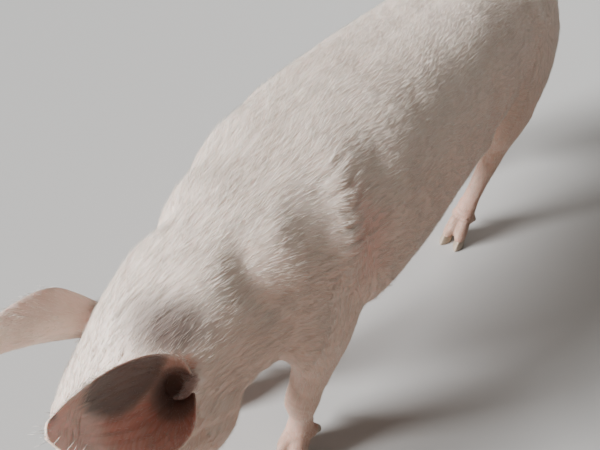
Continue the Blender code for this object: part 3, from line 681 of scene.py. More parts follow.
# Lists all folds. Rows of wrinkles step evenly in place and angle.
def setFolds():
    for place, depth in ((0.082, 0.0016), (0.118, 0.0022), (0.15, 0.002)):  # throat
        addFold("trunk", ((place, -16), (place + 0.006, -40), (place - 0.004, -66)), depth, 0.012)
    for fold in shoulderFolds:
        addFold("trunk", *fold)
    # wrinkles over the ridge behind the shoulder and down to the elbow
    for i in range(9):
        place, angle = -0.052 + 0.003 * i, 66 - 7.5 * i
        path = ((place - 0.022, angle + 2), (place, angle - 2), (place + 0.022, angle))
        addFold("trunk", path, 0.0017, 0.0042, i % 4 == 1)
    for i in range(5):
        place = -0.07 - 0.01 * i
        path = ((place, 6 - 6 * i), (place - 0.012, -8 - 6 * i), (place - 0.016, -24 - 5 * i))
        addFold("trunk", path, 0.0018, 0.0045)
    for fold in sideFolds:
        addFold("trunk", *fold)
    addFold("trunk", ((-0.86, 90), (-0.6, 90), (-0.3, 90), (-0.02, 90)), 0.002, 0.012, False)
    for name, (footX, footY, side) in form["feet"].items():
        own = legFolds[name[:4]]
        for path, depth, width in own["down"]:
            addFold(name, [(height, side * angle) for height, angle in path], depth, width, False)
        span, bend, width = own["span"]
        rows = [(height, span, bend, depth, width) for height, depth in own["across"]]
        rows += [(height, 85, -0.002, 0.0012, 0.0026) for height in (0.09, 0.082, 0.074)]
        for height, span, bend, depth, width in rows:
            path = ((height, -span), (height + bend, 0), (height, span))
            addFold(name, path, depth, width, False)
        for angle in (148, -148):
            addFold(name, [(height, angle) for height in own["heel"]], 0.002, 0.0042, False)
    # the roll behind the snout's disc, then the muzzle and the rest of the face
    path = ((0.288, -60), (0.29, 0), (0.292, 90), (0.29, 180), (0.288, 240))
    addFold("head", path, 0.0022, 0.0036, False)
    for i, (place, swing, span) in enumerate(muzzleFolds):
        steps = ((-0.008, 1), (0.002, 0.5), (0.003, 0), (0, -0.5), (-0.008, -1))
        path = [(place + ahead, 90 + swing + share * span) for ahead, share in steps]
        addFold("head", path, 0.0014 + 0.0002 * i, 0.0027 + 0.0004 * (i % 3), False)
    for fold in faceFolds:
        addFold("head", *fold)
    for i, swing in enumerate((8, -12, 5, -6)):  # forehead
        place = 0.06 + 0.016 * i
        path = ((place, 62 + swing), (place + 0.006, 90 + swing), (place, 118 + swing))
        addFold("head", path, 0.0012, 0.0054, False)
    addFold("head", ((0.15, 90), (0.1, 90), (0.03, 90)), 0.0018, 0.0075, False)


# Points where rays from the middle line meet the skin.
def onSkin(tree, part, path):
    spine = spines[part]
    last = len(spine["scale"]) - 1
    found = []
    for reading, angle in path:
        place = np.interp(reading, spine["scale"], np.arange(last + 1))
        if part in form["feet"]:  # a leg's scale runs up, its rows run down
            place = last - place
        low = min(int(place), last - 1)
        mix = place - low
        centre = spine["centre"][low] * (1 - mix) + spine["centre"][low + 1] * mix
        turn = math.radians(angle)
        way = math.cos(turn) * spine["side"][low] + math.sin(turn) * spine["up"][low]
        hit = skinHit(tree, centre, way, 0.4)[0]
        if hit is not None:
            found.append(hit)
    return np.array(found)


# Moves points in or out by a bell curve of their distance from each fold's path, with a low roll
# of skin on both sides, fading out at the path's ends. Noise makes the fine ones uneven.
def folded(points, normals, tree):
    moved = points.copy()
    fine, wide = 0.01, 0.012
    for part, path, depth, width in folds:
        line = onSkin(tree, part, through(path, 14))
        if len(line) < 2:
            continue
        reach = 3.2 * width
        inside = np.all(points > line.min(0) - reach, 1) & np.all(points < line.max(0) + reach, 1)
        chosen = np.nonzero(inside)[0]
        if not len(chosen):
            continue
        near = np.full(len(chosen), 1e9)
        along = np.zeros(len(chosen))
        for i in range(len(line) - 1):
            edge = line[i + 1] - line[i]
            t = np.clip((points[chosen] - line[i]) @ edge / max(edge @ edge, 1e-12), 0, 1)
            gap = lengthOf(points[chosen] - (line[i] + t[:, None] * edge))
            better = gap < near
            near = np.where(better, gap, near)
            along = np.where(better, (i + t) / (len(line) - 1), along)
        ends = np.clip(np.sin(np.pi * np.clip(along, 0.02, 0.98)) * 1.6, 0, 1)
        groove = bell(near, 0, width) * ends
        bank = bell(near, 1.9 * width, width) * ends
        amount = -depth * groove + (0.4 * depth * bank if depth > 0 and width < wide else 0)
        if width < fine:
            amount = amount * (0.35 + 1.3 * noise(points[chosen], 0.02, 5.0))
        moved[chosen] += normals[chosen] * amount[:, None]
    return moved


wrinkleForm = {
    # distance from the eye, width, height and closeness of the waves
    "waves": (0.024, 0.007, 0.0007, 1900),
    "crease": (0.0195, 0.0028, 0.0016),
}


# Rings of fine wrinkles round the eyes, as a wave of the distance from the eyeball times a bell of
# it, and a crease where the lids begin.
def eyeWrinkles(points):
    amount = np.zeros(len(points))
    for side in (-1, 1):
        gap = lengthOf((points - eyePoint(side)) @ headAxes.T * (0.8, 1.0, 1.15))
        middle, width, height, rate = wrinkleForm["waves"]
        amount += bell(gap, middle, width) * height * np.sin(gap * rate)
        middle, width, depth = wrinkleForm["crease"]
        amount -= depth * bell(gap, middle, width)
    return amount


snoutForm = {
    "along": 0.318,
    "dorsal": -0.052,
    "halfWidth": 0.041,
    "halfHeight": 0.0345,
    "lower": 0.92,  # height of the lower half against the upper
    "squareness": 2.15,
    "thick": 0.018,
    "tilt": -8,
    "rim": (0.0012, 0.9, 0.07),  # height, place from the middle and width
    "furrow": (0.0012, 0.0028),  # depth and width
    "grain": (0.0035, 0.0005),  # size and height
    "lip": (0.0011, 1.28, 0.2),  # round each nostril, as the rim
    # each nostril: place beside and above the middle, lean, half sizes, depth
    "nostril": (0.015, 0.002),
    "nostrilLean": 24,
    "nostrilSize": (0.0062, 0.0086),
    "nostrilDepth": 0.014,
    # the room behind it in the skin: how far back, and three radii
    "room": (0.008, 0.011, 0.0095, 0.0115),
}
teatForm = {"pairs": 7, "reach": (-0.12, -0.6), "spread": 0.042, "radii": (0.006, 0.006, 0.0085)}
mouthForm = {
    "line": ((0.303, -0.08), (0.262, -0.087), (0.222, -0.09), (0.186, -0.094), (0.16, -0.09)),
    "halfWidth": 0.0013,
    "depth": 0.0036,
}
pitForm = {"ahead": 0.012, "out": 0.014, "radii": (0.0155, 0.0155, 0.025)}
skinForm = {
    "body": (0.008, 14),  # voxel and smoothing before the small forms are put on
    "voxel": (0.0025, 0.004),  # full, then quick
    "smoothing": (6, 3),
    "triangles": (196000, 60000),
    # how deep the skin lies under the coat on the trunk, head, legs and feet
    "sink": (0.002, 0.0014, 0.001, 0.0006),
    "footTop": 0.1,
    # lumps of the skin: size of one, place in the noise, and height
    "lumps": ((0.045, 0.0, 0.003), (0.016, 5.0, 0.0011), (0.007, 9.0, 0.0005)),
    # how far round the ears' and the tail's roots the skin is eased
    "roots": (0.075, 0.075, 0.034),
}


# Mouth: a narrow groove, its ovals set on the skin along the line of the lips.
def mouthTube(tree, side):
    path = []
    for along, dorsal in through(mouthForm["line"], 60):
        hit = skinHit(tree, headPoint(along, side * 0.2, dorsal), headAxes[1] * -side)[0]
        if hit is not None:
            path.append(hit)
    path = np.array(path)
    path[1:-1] = (path[:-2] + path[1:-1] + path[2:]) / 3
    ahead = unit(np.gradient(path, axis=0))
    wide = unit(np.cross(ahead, headAxes[1]))
    out = np.cross(wide, ahead)
    size = np.minimum(1, np.linspace(0.4, 12, len(path)))[::-1]
    above, below = np.full(len(path), 0.003), mouthForm["depth"] * size
    return ovalTube(path, wide, out, mouthForm["halfWidth"] * size, above, below, 2.0, 12)


# Ear hollow: an egg sunk in the head inside the root of an ear's scoop, its long way inwards.
def pitPlace(name):
    root, start, end, opening, tipOpening = [np.asarray(v, float) for v in earForm[name]]
    ahead = unit(start) @ headAxes
    out = opening @ headAxes
    out = unit(out - ahead * (out @ ahead))
    axes = np.array((ahead, np.cross(out, ahead), out))
    return headPoint(*root) + ahead * pitForm["ahead"] + out * pitForm["out"], axes


# Middle of the snout's disc, the way it faces and its way up, both turned by the tilt.
def snoutAxes():
    face, up = slanted(snoutForm["tilt"])
    return headPoint(snoutForm["along"], 0, snoutForm["dorsal"]), face, up


# The body's tubes are fused and smoothed, then fused again with the small forms on top. Folds are
# pressed in, and the openings, ears and tail are cut and joined on this finer mesh.
def buildSkin():
    parts = [trunkTube(), skullTube(), swelling(form["cheek"]), swelling(form["cheek"], -1)]
    for name, (footX, footY, side) in form["feet"].items():
        parts.append(legTube(name))
        if "hind" in name:
            (x, y, z), radii = form["hock"]
            parts.append(ball((footX + x, footY + side * y, z), worldAxes, radii))
    skin = fused(makeObject("skin", *parts), *skinForm["body"])
    tree = treeOf(skin)
    details = [(pointsOf(skin.data), [list(p.vertices) for p in skin.data.polygons])]
    bpy.data.objects.remove(skin)
    details += [swelling(form["chin"]), swelling(form["brow"]), swelling(form["brow"], -1)]
    lidRadius = eyeForm["radius"] + eyeForm["lid"]
    details += [ball(eyePoint(side), headAxes, (lidRadius,) * 3) for side in (-1, 1)]
    for name in form["feet"]:
        details += toeTubes(name)
    for x in np.linspace(*teatForm["reach"], teatForm["pairs"]):
        for side in (-1, 1):
            under = skinHit(tree, (x, side * teatForm["spread"], 0), upward)[0]
            details.append(ball(under - (0, 0, 0.001), worldAxes, teatForm["radii"], 16, 10))
    skin = makeObject("skin", *details)
    fused(skin, skinForm["voxel"][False], skinForm["smoothing"][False])
    print("skin fused", len(skin.data.vertices))

    points = pointsOf(skin.data)
    normals = normalsOf(skin.data)
    setFolds()
    moved = folded(points, normals, treeOf(skin))
    part = locate(points, bodyParts)[0]
    trunkSink, headSink, legSink, footSink = skinForm["sink"]
    depth = np.where(part == headPart, headSink, legSink)
    depth = np.where(part == trunkPart, trunkSink, depth)
    depth = np.where(points[:, 2] < skinForm["footTop"], footSink, depth)
    amount = 0
    for number, (size, offset, height) in enumerate(skinForm["lumps"]):
        where = 1 if number else part == trunkPart  # the broadest lie on the trunk alone
        amount = amount + (noise(points, size, offset) - 0.5) * height * where
    moved += normals * (amount - depth + eyeWrinkles(points))[:, None]
    skin.data.vertices.foreach_set("co", moved.astype(np.float32).ravel())
    skin.data.update()

    tree = treeOf(skin)
    combined(skin, "DIFFERENCE", mouthTube(tree, 1), mouthTube(tree, -1))
    pits = [ball(*pitPlace(name), pitForm["radii"], 40, 26) for name in ("left", "right")]
    combined(skin, "DIFFERENCE", *pits)
    front, face, up = snoutAxes()
    out, rise = snoutForm["nostril"]
    back, *radii = snoutForm["room"]
    holes = [front + side * out * headAxes[1] + rise * up - back * face for side in (-1, 1)]
    combined(skin, "DIFFERENCE", *[ball(hole, headAxes, radii) for hole in holes])
    combined(skin, "UNION", earTube("left"), earTube("right"), tailTube())
    combined(skin, "DIFFERENCE", lidWedge(1), lidWedge(-1))
    room = (eyeForm["radius"] + 0.0003,) * 3
    combined(skin, "DIFFERENCE", *[ball(eyePoint(side), headAxes, room) for side in (-1, 1)])
    print("skin joined", len(skin.data.vertices))

    # the ear and tail roots are eased into the skin round them
    points = pointsOf(skin.data)
    roots = [headPoint(*earForm["left"][0]), headPoint(*earForm["right"][0]), tailForm["root"]]
    weight = np.zeros(len(points))
    for place, reach in zip(roots, skinForm["roots"]):
        weight = np.maximum(weight, fade(lengthOf(points - place), reach * 0.6, reach))
    group = skin.vertex_groups.new(name="roots")
    for i in np.nonzero(weight > 0.02)[0]:
        group.add([int(i)], float(weight[i]), "REPLACE")
    modified(skin, "SMOOTH", vertex_group="roots", factor=0.5, iterations=8)
    skin.vertex_groups.clear()

    skin.data.calc_loop_triangles()
    ratio = min(1.0, skinForm["triangles"][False] / len(skin.data.loop_triangles))
    modified(skin, "DECIMATE", ratio=ratio, use_collapse_triangulate=True)
    keepLargest(skin)
    print("skin thinned", len(skin.data.polygons))
    return skin


# Drops every shell but the one with the most points.
def keepLargest(thing):
    work = bmesh.new()
    work.from_mesh(thing.data)
    work.verts.ensure_lookup_table()
    shellOf = np.full(len(work.verts), -1)
    sizes = []
    for start in work.verts:
        if shellOf[start.index] >= 0:
            continue
        shellOf[start.index] = len(sizes)
        shell = [start]
        for vertex in shell:
            for edge in vertex.link_edges:
                near = edge.other_vert(vertex)
                if shellOf[near.index] < 0:
                    shellOf[near.index] = len(sizes)
                    shell.append(near)
        sizes.append(len(shell))
    if len(sizes) > 1:
        drop = [work.verts[int(i)] for i in np.nonzero(shellOf != int(np.argmax(sizes)))[0]]
        bmesh.ops.delete(work, geom=drop, context="VERTS")
        work.to_mesh(thing.data)
    work.free()
    print("shells", len(sizes))


# Place of each part in the unwrap: low corner and size
unwrapAreas = {
    "trunk": (0.0, 0.0, 0.5, 1.0),
    "head": (0.51, 0.52, 0.24, 0.47),
    "foreLeft": (0.51, 0.0, 0.11, 0.5),
    "foreRight": (0.63, 0.0, 0.11, 0.5),
    "hindLeft": (0.75, 0.0, 0.12, 0.5),
    "hindRight": (0.88, 0.0, 0.12, 0.5),
    "earleft": (0.76, 0.52, 0.11, 0.32),
    "earright": (0.88, 0.52, 0.11, 0.32),
    "tail": (0.76, 0.86, 0.23, 0.13),
}

marks = ("blush", "pale", "grime", "shaded")

# Markings. Distances are in metres; low and high are where a marking is full and where it is gone.
markForm = {
    # place, stretch of each way, low, high, strength
    "elbow": ((-0.062, 0.128, 0.505), (1.3, 0.9, 0.75), 0.0, 0.085, 0.62),
    # painted shadow of the left ear on the neck behind it
    "neck": ((0.186, 0.03, 0.518), (1.0, 0.9, 1.4), 0.01, 0.064, 0.9),
    # painted shade in the ears' scoops, as a dark oval: middle and half size along the ear, then
    # round it in radians
    "oval": (0.59, 0.48, 0.74, 0.86),
    # low, high, strength
    "shadeOvalEdge": (0.8, 1.12, 0.85),
    # painted shade in and round each ear's hollow, by distance, and red there that is partly the
    # skin's pink and partly painted shade
    "pitShade": (0.015, 0.029, 0.8),  # round the ear's hollow, by distance
    "pitShadeEdge": (0.028, 0.046, 0.62),
    "pitBlushAndShade": (0.03, 0.052, 0.7),
    "scoop": (0.0175, 0.0225, 1.0),
    "eyeRed": (0.012, 0.034, 0.7),
    "legRed": (0.05, 0.2, 0.42),
    "grime": (0.02, 0.15, 0.9),
    "muzzleRed": (0.2, 0.31, 0.85),  # grows from low to high
    "scoopShade": 0.72,
    "bellyRed": 0.45,
    # the lower wall's share paints the glow of light shining through the thin ear
    "earRed": (0.12, 0.36, 0.5),  # whole ear, its inner face, and the inner face's lower wall
    "bellyGrime": 0.3,
}


# How strong a marking is: its strength times a fading step of the distance.
def mark(values, key):
    low, high, strength = markForm[key]
    return strength * fade(values, low, high)


# A round marking, by distance from its place with each way stretched.
def patch(points, key, wobble=0.0):
    place, stretch, low, high, strength = markForm[key]
    return strength * fade(lengthOf((points - place) * stretch) + wobble, low, high)


# What the skin is like at each point: its part, the place along and round that part, the way the
# hair lies, and the markings.
def describe(points, normals):
    part, row = locate(points, allParts)
    starts = np.cumsum([0] + [len(spines[name]["centre"]) for name in allParts])[part]
    centre, ahead, side, up, radius, length = [
        np.concatenate([spines[name][key] for name in allParts])[starts + row]
        for key in ("centre", "ahead", "side", "up", "radius", "length")
    ]
    away = points - centre
    along = length + dots(away, ahead)
    turn = np.arctan2(dots(away, up), dots(away, side))
    onTrunk, onHead = part == trunkPart, part == headPart
    level = points[:, 2]
    lie = np.where((part <= 1)[:, None], -ahead, ahead)
    flank = onTrunk * np.clip(1 - np.abs(normals[:, 2]), 0, 1)
    lie = lie + np.outer(flank * 0.35, -upward)
    lie = unit(lie - normals * dots(lie, normals)[:, None])
    local = (points - np.asarray(form["poll"])) @ headAxes.T

    # inner faces of the ears, and the angle across the scoop from its wall's middle
    isEar = np.isin(part, earParts)
    inner = isEar & (dots(normals, centre - points) > 0)
    swing = (turn + 1.5 * math.pi) % (2 * math.pi) - math.pi
    earPlace = np.clip(along / earForm["length"], 0, 1)
    alongMiddle, alongSize, roundMiddle, roundSize = markForm["oval"]
    oval = np.hypot((earPlace - alongMiddle) / alongSize, (swing - roundMiddle) / roundSize)
    # painted shade: a dark oval on the inner faces of the ears
    shaded = mark(oval, "shadeOvalEdge") * inner
    rootBlushAndShade = np.zeros(len(points))
    for name in ("left", "right"):
        toPit = pitPlace(name)[0] - points
        pitGap = lengthOf(toPit)
        facing = ease(dots(normals, unit(toPit)), 0.0, 0.45)
        # floor of the scoop: what lies inside the roll of its root, given painted shade and a red
        # that is partly painted shade
        middles = spines["ear" + name]["centre"][:12]
        within = mark(np.min([lengthOf(points - middle) for middle in middles], axis=0), "scoop")
        # painted shade in the hollow at each ear's root, on the faces turned towards it
        shades = [facing * mark(pitGap, "pitShade"), facing * mark(pitGap, "pitShadeEdge")]
        shaded = np.max([shaded, *shades, markForm["scoopShade"] * within], axis=0)
        # red round the ear's root: partly the skin's pink, partly painted shade
        rootBlushAndShade = np.max([rootBlushAndShade, facing * mark(pitGap, "pitBlushAndShade"), within], axis=0)
    # painted glow of light through the thin lower wall of each ear's scoop
    litThroughWall = inner * fade(swing, -0.15, 0.1) * ease(earPlace, 0.1, 0.25) * fade(earPlace, 0.8, 0.95)

    eyeGap = lengthOf(local * (1, 0, 1) + (0, 1, 0) * np.abs(local) - eyeForm["place"])
    wobble = 0.05 * (noise(points, 0.03, 23.0) - 0.5)
    rim = isEar * fade(np.abs(dots(normals, unit(centre - points))), 0.25, 0.55)
    belly = ease(-normals[:, 2], 0.2, 0.9) * ease(level, 0.22, 0.3) * ~onHead * ~isEar
    wholeRed, innerRed, litThroughRed = markForm["earRed"]
    inEar = (innerRed * inner + litThroughRed * litThroughWall) * fade(earPlace, 0.66, 0.86)
    low, high, strength = markForm["muzzleRed"]
    reds = (
        np.where(isEar, wholeRed + inEar, 0),
        onHead * ease(local[:, 0], low, high) * strength,
        onHead * mark(eyeGap, "eyeRed"),
        mark(level, "legRed"),
        patch(points, "elbow", wobble),
        rootBlushAndShade,
        markForm["bellyRed"] * belly,
    )
    # painted shadow of the left ear on the neck behind it
    shaded = np.maximum(shaded, (part <= 1) * patch(points, "neck"))
    # paler where the skin faces up and on top of the head: painted light from above
    pale = np.where(onHead, ease(local[:, 2], -0.09, -0.01) * 0.9, ease(normals[:, 2], -0.1, 0.85))
    pale = pale * ~isEar * ease(level, 0.22, 0.4)
    # brighter still on the poll: a painted highlight
    poll = onHead * fade(local[:, 0], 0.03, 0.12) * ease(local[:, 2], -0.06, 0.0)
    # the ears' outer faces pale with white hair, and their tips painted pale as lit
    pale = np.maximum(pale, isEar * ~inner * 0.9 + isEar * ease(earPlace, 0.72, 0.9) * 0.9)
    pale = np.maximum(pale, 1.3 * poll)
    grime = mark(level, "grime") + markForm["bellyGrime"] * belly
    facts = dict(part=part, row=row, radius=radius, along=along, turn=turn, lie=lie)
    facts.update(inner=inner, rim=rim, swing=swing, local=local)
    for name, values in zip(marks, (np.max(reds, axis=0), pale, grime, shaded)):
        facts[name] = np.clip(values, 0, 1)
    return facts


# A material in the making: each call adds a node, joins or sets its inputs and returns its output.
class Graph:
    def __init__(self, name):
        self.made = bpy.data.materials.new(name)
        self.made.use_nodes = True
        self.tree = self.made.node_tree

    def give(self, node, inputs):
        for key, value in inputs.items():
            if hasattr(value, "links"):
                self.tree.links.new(value, node.inputs[key])
            else:
                node.inputs[key].default_value = value
        return node

    def node(self, kind, inputs, **settings):
        node = self.tree.nodes.new("ShaderNode" + kind)
        for key, value in settings.items():
            setattr(node, key, value)
        return self.give(node, inputs)

    # Lays colours over a first one, one after another, each by its own share.
    def layers(self, colour, *coats):
        for share, other in coats:
            inputs = {0: share, 6: colour, 7: other}
            colour = self.node("Mix", inputs, data_type="RGBA").outputs[2]
        return colour

    def plus(self, first, second):
        return self.node("Math", {0: first, 1: second}, operation="ADD").outputs[0]

    def times(self, first, second, clamp=False):
        inputs = {0: first, 1: second}
        return self.node("Math", inputs, operation="MULTIPLY", use_clamp=clamp).outputs[0]

    def value(self, name, output="Fac"):
        return self.node("Attribute", {}, attribute_name=name).outputs[output]

    def coordinates(self):
        return self.node("TexCoord", {}).outputs["Object"]

    def stretched(self, vector, scale):
        return self.node("Mapping", {"Vector": vector, "Scale": scale}).outputs["Vector"]

    def noise(self, vector, scale, detail=3.0, roughness=0.55):
        inputs = {"Vector": vector, "Scale": scale, "Detail": detail, "Roughness": roughness}
        return self.node("TexNoise", inputs).outputs["Fac"]

    def pores(self, vector, scale):
        return self.node("TexVoronoi", {"Vector": vector, "Scale": scale}).outputs["Distance"]

    def bump(self, height, strength, distance):
        inputs = {"Height": height, "Strength": strength, "Distance": distance}
        return {"Normal": self.node("Bump", inputs).outputs["Normal"]}

    def finish(self, inputs):
        self.give(self.tree.nodes["Principled BSDF"], inputs)
        return self.made


# pale is the skin's pale tone and also painted light; shaded is painted shade
skinLook = {
    "base": (0.63, 0.405, 0.31, 1),
    "pale": (0.78, 0.65, 0.56, 1),
    "blush": (0.6, 0.25, 0.185, 1),
    "dark": (0.37, 0.225, 0.16, 1),
    "grime": (0.18, 0.12, 0.082, 1),
    "shaded": (0.13, 0.092, 0.078, 1),
    "hair": (0.86, 0.79, 0.71, 1),
}
flesh = {"Subsurface Radius": (1.0, 0.35, 0.2)}


def skinMaterial():
    graph = Graph("pigSkin")
    place = graph.coordinates()
    broad = graph.noise(place, 7.0, 4.0)
    fine = graph.noise(place, 55.0, 4.0, 0.6)
    dirt = graph.times(graph.noise(place, 24.0, 5.0, 0.65), 1.5)
    # flat hair: streaks along the way it lies
    flow = graph.stretched(graph.value("flow", "Vector"), (34, 420, 1))
    streaks = graph.noise(flow, 1.0, 3.0, 0.6)
    shares = {
        "pale": graph.times(graph.value("pale"), graph.plus(broad, 0.5)),
        "blush": graph.times(graph.value("blush"), graph.plus(broad, 0.35)),
        "dark": graph.plus(graph.times(graph.plus(fine, -0.5), 0.75), 0.08),
        "grime": graph.times(graph.times(graph.value("grime"), dirt, True), 0.75),
        "hair": graph.times(graph.times(graph.plus(streaks, -0.45), 2.2, True), 0.36),
        "shaded": graph.value("shaded"),
    }
    coats = [(share, skinLook[name]) for name, share in shares.items()]
    height = graph.plus(graph.times(streaks, 0.45), graph.times(graph.pores(place, 420.0), 0.3))
    height = graph.plus(height, graph.times(fine, 0.8))
    look = {
        "Base Color": graph.layers(skinLook["base"], *coats),
        "Roughness": 0.58,
        "Specular IOR Level": 0.35,
        "Subsurface Weight": 0.22,
        "Subsurface Scale": 0.008,
    }
    return graph.finish({**look, **flesh, **graph.bump(height, 0.42, 0.001)})


hairLook = {
    "root": (0.62, 0.45, 0.34, 1),
    "white": (0.87, 0.79, 0.7, 1),
    "grime": (0.3, 0.22, 0.16, 1),
    "shaded": (0.17, 0.125, 0.1, 1),
}


def hairMaterial():
    graph = Graph("pigBristle")
    white = (graph.value("shade"), hairLook["white"])
    grime = (graph.times(graph.value("grime"), 0.6), hairLook["grime"])
    shaded = (graph.times(graph.value("shaded"), 0.85), hairLook["shaded"])
    colour = graph.layers(hairLook["root"], white, grime, shaded)
    look = {"Roughness": 0.42, "Specular IOR Level": 0.4, "Subsurface Weight": 0.0}
    return graph.finish({"Base Color": colour, **look})


snoutLook = {
    "base": (0.6, 0.3, 0.26, 1),
    "pale": (0.7, 0.46, 0.4, 1),
    "dark": (0.35, 0.2, 0.16, 1),
    "nostril": (0.08, 0.03, 0.025, 1),
}


def snoutMaterial():
    graph = Graph("pigSnout")
    place = graph.coordinates()
    fine = graph.noise(place, 260.0, 3.0)
    pale = (graph.noise(place, 30.0, 4.0), snoutLook["pale"])
    dark = (graph.times(graph.plus(fine, -0.5), 1.2), snoutLook["dark"])
    # the nostrils' pits painted near black: painted shade in the holes
    nostril = (graph.value("cavity"), snoutLook["nostril"])
    height = graph.plus(graph.pores(place, 520.0), graph.times(fine, 0.5))
    look = {
        "Base Color": graph.layers(snoutLook["base"], pale, dark, nostril),
        "Roughness": 0.36,
        "Subsurface Weight": 0.2,
        "Subsurface Scale": 0.006,
    }
    return graph.finish({**look, **flesh, **graph.bump(height, 0.5, 0.0009)})


hornLook = {
    "dark": (0.26, 0.19, 0.13, 1),
    "pale": (0.56, 0.46, 0.35, 1),
    "stain": (0.14, 0.1, 0.075, 1),
}


def hornMaterial():
    graph = Graph("pigHorn")
    place = graph.coordinates()
    rings = graph.noise(graph.stretched(place, (14, 14, 260)), 1.0, 3.0)
    stain = (graph.times(graph.noise(place, 60.0, 3.0), 0.6), hornLook["stain"])
    colour = graph.layers(hornLook["dark"], (rings, hornLook["pale"]), stain)
    return graph.finish({"Base Color": colour, "Roughness": 0.48, **graph.bump(rings, 0.5, 0.0006)})


# Colours of the eye by the angle from the way it looks: pupil, iris, its dark edge and the white
eyeStops = (
    (0.0, (0.004, 0.003, 0.003, 1)),
    (0.3, (0.004, 0.003, 0.003, 1)),
    (0.34, (0.06, 0.028, 0.012, 1)),
    (0.62, (0.115, 0.06, 0.028, 1)),
    (0.68, (0.015, 0.009, 0.007, 1)),
    (0.76, (0.42, 0.33, 0.28, 1)),
)


def eyeMaterial():
    graph = Graph("pigEye")
    ramp = graph.node("ValToRGB", {"Fac": graph.value("gaze")})
    stops = ramp.color_ramp.elements
    stops.remove(stops[1])
    stops[0].color = eyeStops[0][1]
    for place, colour in eyeStops[1:]:
        stops.new(place).color = colour
    grain = graph.times(graph.noise(graph.coordinates(), 900.0, 3.0), 0.35)
    colour = graph.layers(ramp.outputs["Color"], (grain, (0.02, 0.012, 0.008, 1)))
    wet = {"Specular IOR Level": 0.25, "Coat Weight": 0.55, "Coat Roughness": 0.03}
    return graph.finish({"Base Color": colour, "Roughness": 0.2, **wet})


# Moves a piece into the frame, paints it, and says what it rides on.
def finishPiece(thing, made, smooth=True):
    thing.data.transform(Matrix.Translation(Vector(shift)))
    thing.data.materials.clear()
    thing.data.materials.append(made)
    if smooth:
        thing.data.shade_smooth()
    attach(thing, "root")
    return thing


# Eye: a ball drawn in a little away from the pupil, by an eased step of the angle from its gaze.
def buildEyes(made):
    for name, side in (("eyeLeft", 1), ("eyeRight", -1)):
        look = unit(np.array((0.3, side * 1.0, 0.1)) @ headAxes)
        level = unit(np.cross(look, headAxes[2]))
        axes = np.array((look, level, np.cross(look, level)))
        points, faces = ball((0, 0, 0), worldAxes, (1, 1, 1), 96, 64)
        angle = np.arccos(np.clip(points[:, 0], -1, 1))
        size = (eyeForm["radius"] - 0.0002) * (1 - 0.012 * ease(angle, 0.5, 0.9))
        thing = makeObject(name, (eyePoint(side) + (points * size[:, None]) @ axes, faces))
        # the pupil is a level slot, so the angle is read wider across than up
        squeeze = np.arctan2(np.hypot(points[:, 1] * 0.72, points[:, 2] * 1.15), points[:, 0])
        saveValues(thing.data, "gaze", np.where(angle < 0.62, squeeze, angle))
        finishPiece(thing, made)
        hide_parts("eye_left" if side > 0 else "eye_right")


# Snout: a disc on polar coordinates. Its height over the flat is a rounded rim, a middle furrow and
# two nostrils, each a pit with an eased edge of an oval distance.
def buildSnout(made):
    front, face, up = snoutAxes()
    c, s = circle(240)
    flat = np.linspace(0.02, 0.93, 84)
    bend = np.linspace(0, 1, 18)[1:] * math.pi / 2
    size = np.concatenate([flat, 0.93 + 0.07 * np.sin(bend), np.linspace(0.998, 0.84, 16)[1:]])
    back = np.linspace(-0.0046, -snoutForm["thick"], 16)[1:]
    level = np.concatenate([0 * flat, -0.004 * (1 - np.cos(bend)), back])[:, None]
    size = size[:, None]
    squareness = snoutForm["squareness"]
    x = size * squared(c, squareness) * snoutForm["halfWidth"]
    y = size * squared(s, squareness) * snoutForm["halfHeight"]
    y = y * np.where(s > 0, 1, snoutForm["lower"])
    onFace = ease(-size, -0.99, -0.9)
    height, place, width = snoutForm["rim"]
    level = level + height * bell(size, place, width) * (0.6 + 0.4 * s)
    depth, width = snoutForm["furrow"]
    level -= depth * bell(x, 0, width) * onFace
    hole = np.zeros_like(x)
    lean = math.radians(snoutForm["nostrilLean"])
    out, rise = snoutForm["nostril"]
    halfWide, halfHigh = snoutForm["nostrilSize"]
    height, place, width = snoutForm["lip"]
    for side in (-1, 1):
        dx, dy = x - side * out, y - rise
        wide = math.cos(lean) * dx - side * math.sin(lean) * dy
        high = side * math.sin(lean) * dx + math.cos(lean) * dy
        gap = np.hypot(wide / halfWide, high / halfHigh)
        hole = np.maximum(hole, fade(gap, 0.72, 1.06))
        level += height * bell(gap, place, width)
    level -= snoutForm["nostrilDepth"] * hole
    grain, height = snoutForm["grain"]
    rough = noise(np.stack([x.ravel(), y.ravel(), 0 * x.ravel()], 1), grain).reshape(x.shape)
    level += (rough - 0.5) * height * onFace
    points = front + x[..., None] * headAxes[1] + y[..., None] * up + level[..., None] * face
    thing = makeObject("snoutDisc", tube(points))
    # how far into a nostril's pit, for its painted shade
    saveValues(thing.data, "cavity", np.clip(hole.ravel() * 1.1, 0, 1))
    finishPiece(thing, made)
    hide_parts("snout")


clawForm = {
    "length": 0.053,
    "width": 0.0255,
    "ahead": 0.016,
    "splay": 7,
    "blunt": 0.8,  # reach of the heel against the toe
    "taper": 0.42,  # how far the width draws in towards the point
    "innerWall": 0.86,
    "drop": 0.012,
    "rings": (0.01, 1500),  # height against the size, and closeness
    # height, size against the sole's, and place behind it
    "profile": (
        (0.0, 0.925, 0.0),
        (0.0008, 0.955, 0.0),
        (0.002, 0.985, 0.0),
        (0.004, 1.0, 0.0),
        (0.018, 0.9, -0.004),
        (0.033, 0.74, -0.009),
    ),
}
dewclawForm = {
    "root": (-0.021, 0.0185, 0.064),
    "way": (-0.62, 0.1, -0.78),
    "length": 0.026,
    "radius": 0.0085,
    "rings": (0.02, 40),
    "profile": ((0, 0.35, 0.65, 0.88, 1), (0.95, 1.0, 0.86, 0.58, 0.24)),
}


